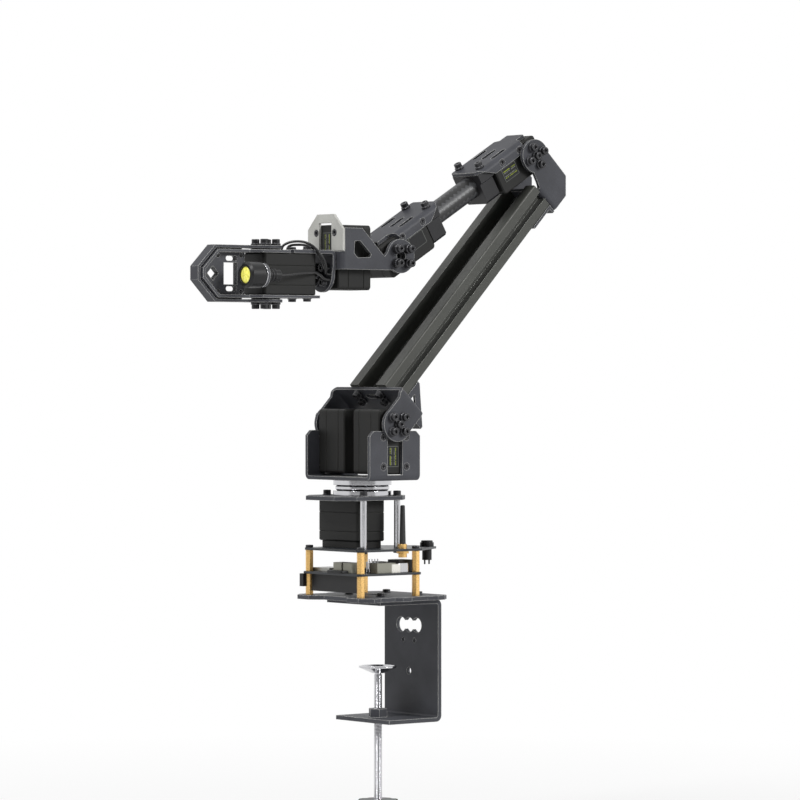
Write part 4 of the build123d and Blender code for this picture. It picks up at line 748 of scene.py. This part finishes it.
class ARM_OT_lens(bpy.types.Operator):
    """The lamp's moulded lens: a dome with a ring of bubbles"""

    bl_idname = "arm.lens"
    bl_label = "Lamp lens"

    def execute(self, context):
        low, high = (np.array(corner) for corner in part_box("lamp_lens"))
        outer = (high[1] - low[1]) / 2
        middle = (low + high) / 2
        steps, rows = 60, 18
        share = np.linspace(1, 0, rows)[:, None]
        angle = np.arange(steps)[None, :] * 2 * np.pi / steps
        bubble = 0.3 * MM * (np.cos(6 * angle) - 1) * np.sin(np.pi * share) ** 2
        rise = (high[0] - low[0]) * (0.45 + 0.55 * np.sqrt(1 - share ** 2)) + bubble
        rise = np.concatenate([np.zeros((2, steps)), rise])
        radius = np.concatenate([[[0.0]], [[outer]], outer * share]) * np.ones((1, steps))
        turn = angle * np.ones((rows + 2, 1))
        points = np.stack(
            [low[0] + rise, middle[1] + radius * np.cos(turn), middle[2] + radius * np.sin(turn)], -1
        ).reshape(-1, 3)
        made = make_piece(
            "bubbled_lens", points, grid_quads(rows + 2, steps), "gripper", "lamp_lens", tinted_lens()
        )
        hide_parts("lamp_lens")
        low, high = (np.array(corner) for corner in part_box("lamp_nut"))
        middle = (low + high) / 2
        flats, washer, bore = (high[2] - low[2]) / 2, 8.4 * MM, 4.1 * MM
        edge, seat = 0.3 * MM, 0.6 * MM
        tall = high[0] - low[0]
        radii = [bore, washer - edge, washer, washer, flats, flats, flats - edge, bore]
        levels = [0, 0, edge / 2, seat, seat, tall - edge, tall, tall]
        hexed = [False] * 4 + [True] * 3 + [False]
        origin = np.array([low[0], middle[1], middle[2]])
        points = set_up(turned(radii, levels, hexed, 48), origin, (1, 0, 0))
        made = make_piece(
            "lamp_ring_nut", points, grid_quads(8, 48, loop=True), "gripper", "bearing_steel", ground_steel()
        )
        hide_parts("lamp_nut")
        return {"FINISHED"}


def add_cord(name, route, node):
    """A cable along one smooth spline whose control points are the route's."""
    curve = bpy.data.curves.new(name, "CURVE")
    curve.dimensions = "3D"
    curve.bevel_depth = sizes().cable / 2
    curve.bevel_resolution = 4
    curve.resolution_u = 10
    curve.use_fill_caps = True
    spline = curve.splines.new("NURBS")
    spline.points.add(len(route) - 1)
    for point, (x, y, z) in zip(spline.points, route):
        point.co = (x, y, z, 1.0)
    spline.order_u = 3
    spline.use_endpoint_u = True
    curve.materials.append(cable_sheath())
    made = bpy.data.objects.new(name, curve)
    bpy.context.scene.collection.objects.link(made)
    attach(made, BODY_OF[node])
    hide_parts(node)
    return made


class ARM_OT_cables(bpy.types.Operator):
    """Servo and lamp cables between the gripper and its bracket"""

    bl_idname = "arm.cables"
    bl_label = "Cables"

    def execute(self, context):
        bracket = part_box("roll_bracket")
        top = bracket[1][2]
        web = bracket[0][0] + 2.5 * MM
        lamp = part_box("lamp_lens")
        run = (lamp[0][2] + lamp[1][2]) / 2
        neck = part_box("lamp_body")[0][0]
        upper = [
            (68.7, -3, 0), (68.7, -3, 2.7), (64.7, 0.5, 5.4), (61.1, 5, 6.0), (57.5, 9.5, 5.3),
            (54.8, 14, 2.8), (50.3, 17.6, -3.2), (45.8, 17, -9.1), (42.4, 13.4, -14),
            (40.8, 10.6, -16.7), (0, 10.6, -16.7),
        ]
        lower = [
            (65.3, -1, 0), (65.3, -1, 1.9), (62.2, -0.3, 3.4), (59.3, 1.5, 3.6), (55.2, 5, 3.6),
            (52.6, 10, 2.2), (50.1, 15, -3.4), (45.9, 14.2, -9.1), (42.6, 11.4, -12.2),
            (40.8, 10, -12.8), (0, 10, -12.8),
        ]
        for name, rows, real in (("upper_servo_cable", upper, 0.052), ("lower_servo_cable", lower, 0.044)):
            route = [(x * MM if x else web, y * MM, top + z * MM) for x, y, z in rows]
            add_cord(name, route, "servo_cables")
        rows = [
            (0, 22.5, 0), (84, 22.5, 0), (73, 21, 1.4), (61, 18.4, 2.3), (53, 15.6, 2.8), (46.5, 12.2, 1.1),
            (41, 10.2, -2.2), (-1, 10.2, -2.2),
        ]
        route = [(neck if x == 0 else web if x < 0 else x * MM, y * MM, run + z * MM) for x, y, z in rows]
        add_cord("lamp_lead", route, "lamp_cable")
        return {"FINISHED"}


def slab(centre, across, upward, width, height, thick, count=10):
    """A thin rounded plate: a superellipse outline filled by shrinking rings, with a softened front edge."""
    out = np.cross(across, upward)
    angle = np.arange(4 * count) * 2 * np.pi / (4 * count)
    power = 0.25
    x = np.sign(np.cos(angle)) * np.abs(np.cos(angle)) ** power * width / 2
    y = np.sign(np.sin(angle)) * np.abs(np.sin(angle)) ** power * height / 2
    shares = np.array([0.0, 1.0, 1.0, 0.97, 0.0])
    levels = np.array([0.0, 0.0, 0.7, 1.0, 1.0]) * thick
    px = shares[:, None] * x
    py = shares[:, None] * y
    points = (
        np.asarray(centre)
        + px[..., None] * across
        + py[..., None] * upward
        + levels[:, None, None] * out
    )
    flat = np.stack([px / width + 0.5, py / height + 0.5], -1)
    return points.reshape(-1, 3), grid_quads(5, 4 * count), flat.reshape(-1, 2)


class ARM_OT_labels(bpy.types.Operator):
    """Plain printed labels on the servos' faces, with rows of bars and no words"""

    bl_idname = "arm.labels"
    bl_label = "Servo labels"

    def execute(self, context):
        reach, wide, tall, thick = 22.4 * MM, 15.4 * MM, 10.7 * MM, 0.12 * MM
        half = 14.5 * MM
        roll = np.array([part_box("roll_servo")[1][0], 0, JOINTS["roll"]["pos_m"][2]])
        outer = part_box("shoulder_servos")[1][1]
        rows = [
            ("left_shoulder_label", "turntable", SHOULDER + outer * SIDE, -UP, SIDE),
            ("right_shoulder_label", "turntable", SHOULDER - outer * SIDE, -UP, -SIDE),
            ("elbow_label", "forearm", ELBOW + half * SIDE, FOREARM, SIDE),
            ("elbow_back_label", "forearm", ELBOW - half * SIDE, FOREARM, -SIDE),
            ("wrist_label", "forearm", WRIST + half * SIDE, -FOREARM, SIDE),
            ("wrist_back_label", "forearm", WRIST - half * SIDE, -FOREARM, -SIDE),
            ("roll_label", "hand", roll, UP, AHEAD),
        ]
        for name, body, face, along, out in rows:
            upward = np.cross(out, along)
            points, quads, flat = slab(face + reach * along, along, upward, wide, tall, thick)
            bare = "wrist" in name
            look = printed_label("outlined_label" if bare else "printed_label", not bare)
            make_piece(
                name, points, quads, body, "servo_case", look, smooth=False, uv=("label", flat[quads])
            )
        return {"FINISHED"}


def blocks(rows, top):
    """Slabs standing on a board's top: each row gives x, y, width, depth and height in millimetres."""
    return [
        slab(np.array([x * MM, y * MM, top]), AHEAD, SIDE, wide * MM, deep * MM, tall * MM)[:2]
        for x, y, wide, deep, tall in rows
    ]


class ARM_OT_board(bpy.types.Operator):
    """Connectors, chips and capacitors on the driver board"""

    bl_idname = "arm.board"
    bl_label = "Board details"

    def execute(self, context):
        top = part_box("driver_board")[1][2]
        chips = [
            (-8, 2, 7, 7, 1), (-9, -12, 5, 6, 1.2), (-16, -22, 6, 5, 1.4), (-3, -23, 4, 4, 1),
            (4, 6, 4, 5, 1), (26, 5, 7, 17, 1.8),
        ]
        connectors = [(8, 27, 5, 4, 5), (-6, 28, 8, 5, 6)]
        pin, pitch, tall = 0.64, 2.54, 8
        pins = [
            (x + pitch * k, y, pin, pin, tall) for x, y, count in ((4, 20, 6), (4, 22.5, 6), (-20, -8, 4))
            for k in range(count)
        ]
        terminal = (-14, 25, 10, 7, 6.5)
        radii = np.array([0, 2.4, 2.5, 2.3, 2.5, 2.5, 2.3, 1.9, 0]) * MM
        levels = np.array([0, 0, 0.3, 0.9, 1.3, 5.2, 5.5, 5.4, 5.4]) * MM
        can = turned(radii, levels, [False] * len(radii))
        cans = [
            (can + np.array([x * MM, y * MM, top]), grid_quads(len(radii), 24))
            for x, y in ((-18, 4), (-12, 10), (-4, 14))
        ]
        for name, parts, slot, material in (
            ("board_chips", blocks(chips, top), "socket_plastic", black_nylon()),
            ("white_connectors", blocks(connectors, top), "socket_plastic", white_nylon()),
            ("board_capacitors", cans, "bearing_steel", ground_steel()),
            ("header_pins", blocks([*pins, terminal], top), "bearing_steel", ground_steel()),
        ):
            make_piece(name, *join(parts), "base", slot, material)
        return {"FINISHED"}


def studio_floor():
    """Pale matt paper: white to the camera, with the object's shadow kept close around it."""
    made = bpy.data.materials.new("studio_paper")
    made.use_nodes = True
    tree = made.node_tree
    shader = tree.nodes["Principled BSDF"]
    shader.inputs["Base Color"].default_value = linear("#F2F2F2")
    shader.inputs["Roughness"].default_value = 0.9
    path = add_node(tree, "ShaderNodeLightPath")
    place = add_node(tree, "ShaderNodeTexCoord").outputs["Object"]
    far = add_node(tree, "ShaderNodeVectorMath", [(0, place)], operation="LENGTH").outputs["Value"]
    share = add_node(
        tree, "ShaderNodeMapRange",
        [("Value", far), ("From Min", 0.25), ("From Max", 0.9), ("To Min", 0.6), ("To Max", 1.0)],
    ).outputs[0]
    seen = add_node(
        tree, "ShaderNodeMath", [(0, path.outputs["Is Camera Ray"]), (1, path.outputs["Is Glossy Ray"])],
        operation="MAXIMUM",
    ).outputs[0]
    factor = add_node(tree, "ShaderNodeMath", [(0, share), (1, seen)], operation="MULTIPLY").outputs[0]
    white = add_node(tree, "ShaderNodeEmission", [("Color", (1, 1, 1, 1)), ("Strength", 1.0)]).outputs[0]
    mix = add_node(tree, "ShaderNodeMixShader", [(0, factor), (1, shader.outputs[0]), (2, white)])
    tree.links.new(mix.outputs[0], tree.nodes["Material Output"].inputs["Surface"])
    return made


def studio_world(back):
    """White to the camera, dim and even to matt surfaces, and a photographer's tent to glossy ones.

    The tent is bright behind the object, in two upright strips at its sides and overhead, where the
    ray's direction passes a limit along each, and dark elsewhere.
    """
    world = bpy.data.worlds.new("studio")
    world.use_nodes = True
    tree = world.node_tree
    tree.nodes.clear()
    path = add_node(tree, "ShaderNodeLightPath")
    toward = add_node(tree, "ShaderNodeTexCoord").outputs["Generated"]
    behind = add_node(
        tree, "ShaderNodeVectorMath", [(0, toward), (1, tuple(-back))], operation="DOT_PRODUCT"
    ).outputs["Value"]
    far = add_node(
        tree, "ShaderNodeMapRange", [("Value", behind), ("From Min", 0.15), ("From Max", 0.5)]
    ).outputs[0]
    sideways = add_node(
        tree, "ShaderNodeVectorMath", [(0, toward), (1, (-back[1], back[0], 0.0))],
        operation="DOT_PRODUCT"
    ).outputs["Value"]
    aside = add_node(tree, "ShaderNodeMath", [(0, sideways)], operation="ABSOLUTE").outputs[0]
    strips = add_node(
        tree, "ShaderNodeMapRange", [("Value", aside), ("From Min", 0.72), ("From Max", 0.84)]
    ).outputs[0]
    parts = add_node(tree, "ShaderNodeSeparateXYZ", [("Vector", toward)])
    above = add_node(
        tree, "ShaderNodeMapRange",
        [("Value", parts.outputs[2]), ("From Min", 0.45), ("From Max", 0.75)]
    ).outputs[0]
    boxes = add_node(tree, "ShaderNodeMath", [(0, far), (1, strips)], operation="MAXIMUM").outputs[0]
    boxes = add_node(tree, "ShaderNodeMath", [(0, boxes), (1, above)], operation="MAXIMUM").outputs[0]
    mirrored = add_node(tree, "ShaderNodeMapRange", [("Value", boxes), ("To Min", 0.05)]).outputs[0]
    direct = add_node(
        tree, "ShaderNodeMath",
        [(0, path.outputs["Is Camera Ray"]), (1, path.outputs["Is Transmission Ray"])],
        operation="MAXIMUM",
    ).outputs[0]
    shiny = add_node(
        tree, "ShaderNodeMath", [(0, path.outputs["Is Glossy Ray"]), (1, mirrored)], operation="MULTIPLY"
    ).outputs[0]
    seen = add_node(tree, "ShaderNodeMath", [(0, direct), (1, shiny)], operation="MAXIMUM").outputs[0]
    ambient = add_node(
        tree, "ShaderNodeMath", [(0, path.outputs["Is Diffuse Ray"]), (1, 0.22)], operation="MULTIPLY"
    ).outputs[0]
    level = add_node(tree, "ShaderNodeMath", [(0, seen), (1, ambient)], operation="MAXIMUM").outputs[0]
    sky = add_node(tree, "ShaderNodeBackground", [("Color", (1, 1, 1, 1)), ("Strength", level)])
    add_node(tree, "ShaderNodeOutputWorld", [("Surface", sky.outputs[0])])
    return world


class ARM_OT_stage(bpy.types.Operator):
    """Pale floor, soft studio light and the camera"""

    bl_idname = "arm.stage"
    bl_label = "Stage"

    def execute(self, context):
        scene = context.scene
        scene.view_settings.view_transform = "Standard"
        azimuth, elevation, distance = math.radians(141.6), math.radians(0.286), 2.887
        back = Vector((
            math.sin(azimuth) * math.cos(elevation),
            -math.cos(azimuth) * math.cos(elevation),
            math.sin(elevation),
        ))
        floor_z = CAD_BOX[0][2] + JOINTS["clamp_slide"]["range_m"][0] - 0.2 * MM
        rings = np.array([0.0, 0.3, 0.9, 3.0, 8.0])
        points = turned(rings, np.full(len(rings), floor_z), [False] * len(rings), 64)
        mesh = bpy.data.meshes.new("floor")
        mesh.from_pydata(points.tolist(), [], grid_quads(len(rings), 64).tolist())
        mesh.materials.append(studio_floor())
        floor = bpy.data.objects.new("floor", mesh)
        scene.collection.objects.link(floor)
        for name, strength, angle, toward in (
            ("key_sun", 1.8, 20, (-0.35, 0.9, 0.4)),
            ("top_sun", 2.1, 25, (0.7, 0.1, 0.75)),
        ):
            sun = bpy.data.lights.new(name, "SUN")
            sun.energy = strength
            sun.angle = math.radians(angle)
            lamp = bpy.data.objects.new(name, sun)
            lamp.rotation_mode = "QUATERNION"
            lamp.rotation_quaternion = Vector(toward).to_track_quat("Z", "Y")
            scene.collection.objects.link(lamp)
        scene.world = studio_world(back)
        data = bpy.data.cameras.new("camera")
        data.lens = 185.5
        data.sensor_width = 36
        data.shift_x = 0.047
        data.shift_y = -0.013
        data.clip_start = 0.1
        data.clip_end = 200
        camera = bpy.data.objects.new("camera", data)
        camera.location = Vector((0, 0, 0.15)) + back * distance
        camera.rotation_mode = "QUATERNION"
        camera.rotation_quaternion = back.to_track_quat("Z", "Y")
        scene.collection.objects.link(camera)
        scene.camera = camera
        return {"FINISHED"}


OPERATORS = (
    ARM_OT_paint, ARM_OT_screws, ARM_OT_clamp_screw, ARM_OT_tube, ARM_OT_lens, ARM_OT_cables, ARM_OT_labels,
    ARM_OT_board, ARM_OT_stage,
)


class ARM_PT_panel(bpy.types.Panel):
    """Sizes, colours and steps of the robot arm"""

    bl_label = "Desktop robot arm"
    bl_idname = "ARM_PT_panel"
    bl_space_type = "VIEW_3D"
    bl_region_type = "UI"
    bl_category = "Arm"

    def draw(self, context):
        for group in (context.scene.arm_sizes, context.scene.arm_colours):
            for name in group.bl_rna.properties.keys():
                if name not in ("rna_type", "name"):
                    self.layout.prop(group, name)
        for kind in OPERATORS:
            self.layout.operator(kind.bl_idname)


def register():
    """Register the arm's properties, operators and panel."""
    for kind in (ArmColours, ArmSizes, *OPERATORS, ARM_PT_panel):
        bpy.utils.register_class(kind)
    bpy.types.Scene.arm_colours = bpy.props.PointerProperty(type=ArmColours)
    bpy.types.Scene.arm_sizes = bpy.props.PointerProperty(type=ArmSizes)


def unregister():
    """Take the arm's properties, operators and panel away."""
    del bpy.types.Scene.arm_colours
    del bpy.types.Scene.arm_sizes
    for kind in reversed((ArmColours, ArmSizes, *OPERATORS, ARM_PT_panel)):
        bpy.utils.unregister_class(kind)


def main():
    """Build the arm and its stage."""
    register()
    bpy.ops.arm.paint()
    bpy.ops.arm.screws()
    bpy.ops.arm.clamp_screw()
    bpy.ops.arm.tube()
    bpy.ops.arm.lens()
    bpy.ops.arm.cables()
    bpy.ops.arm.labels()
    bpy.ops.arm.board()
    bpy.ops.arm.stage()


if __name__ == "__main__":
    main()
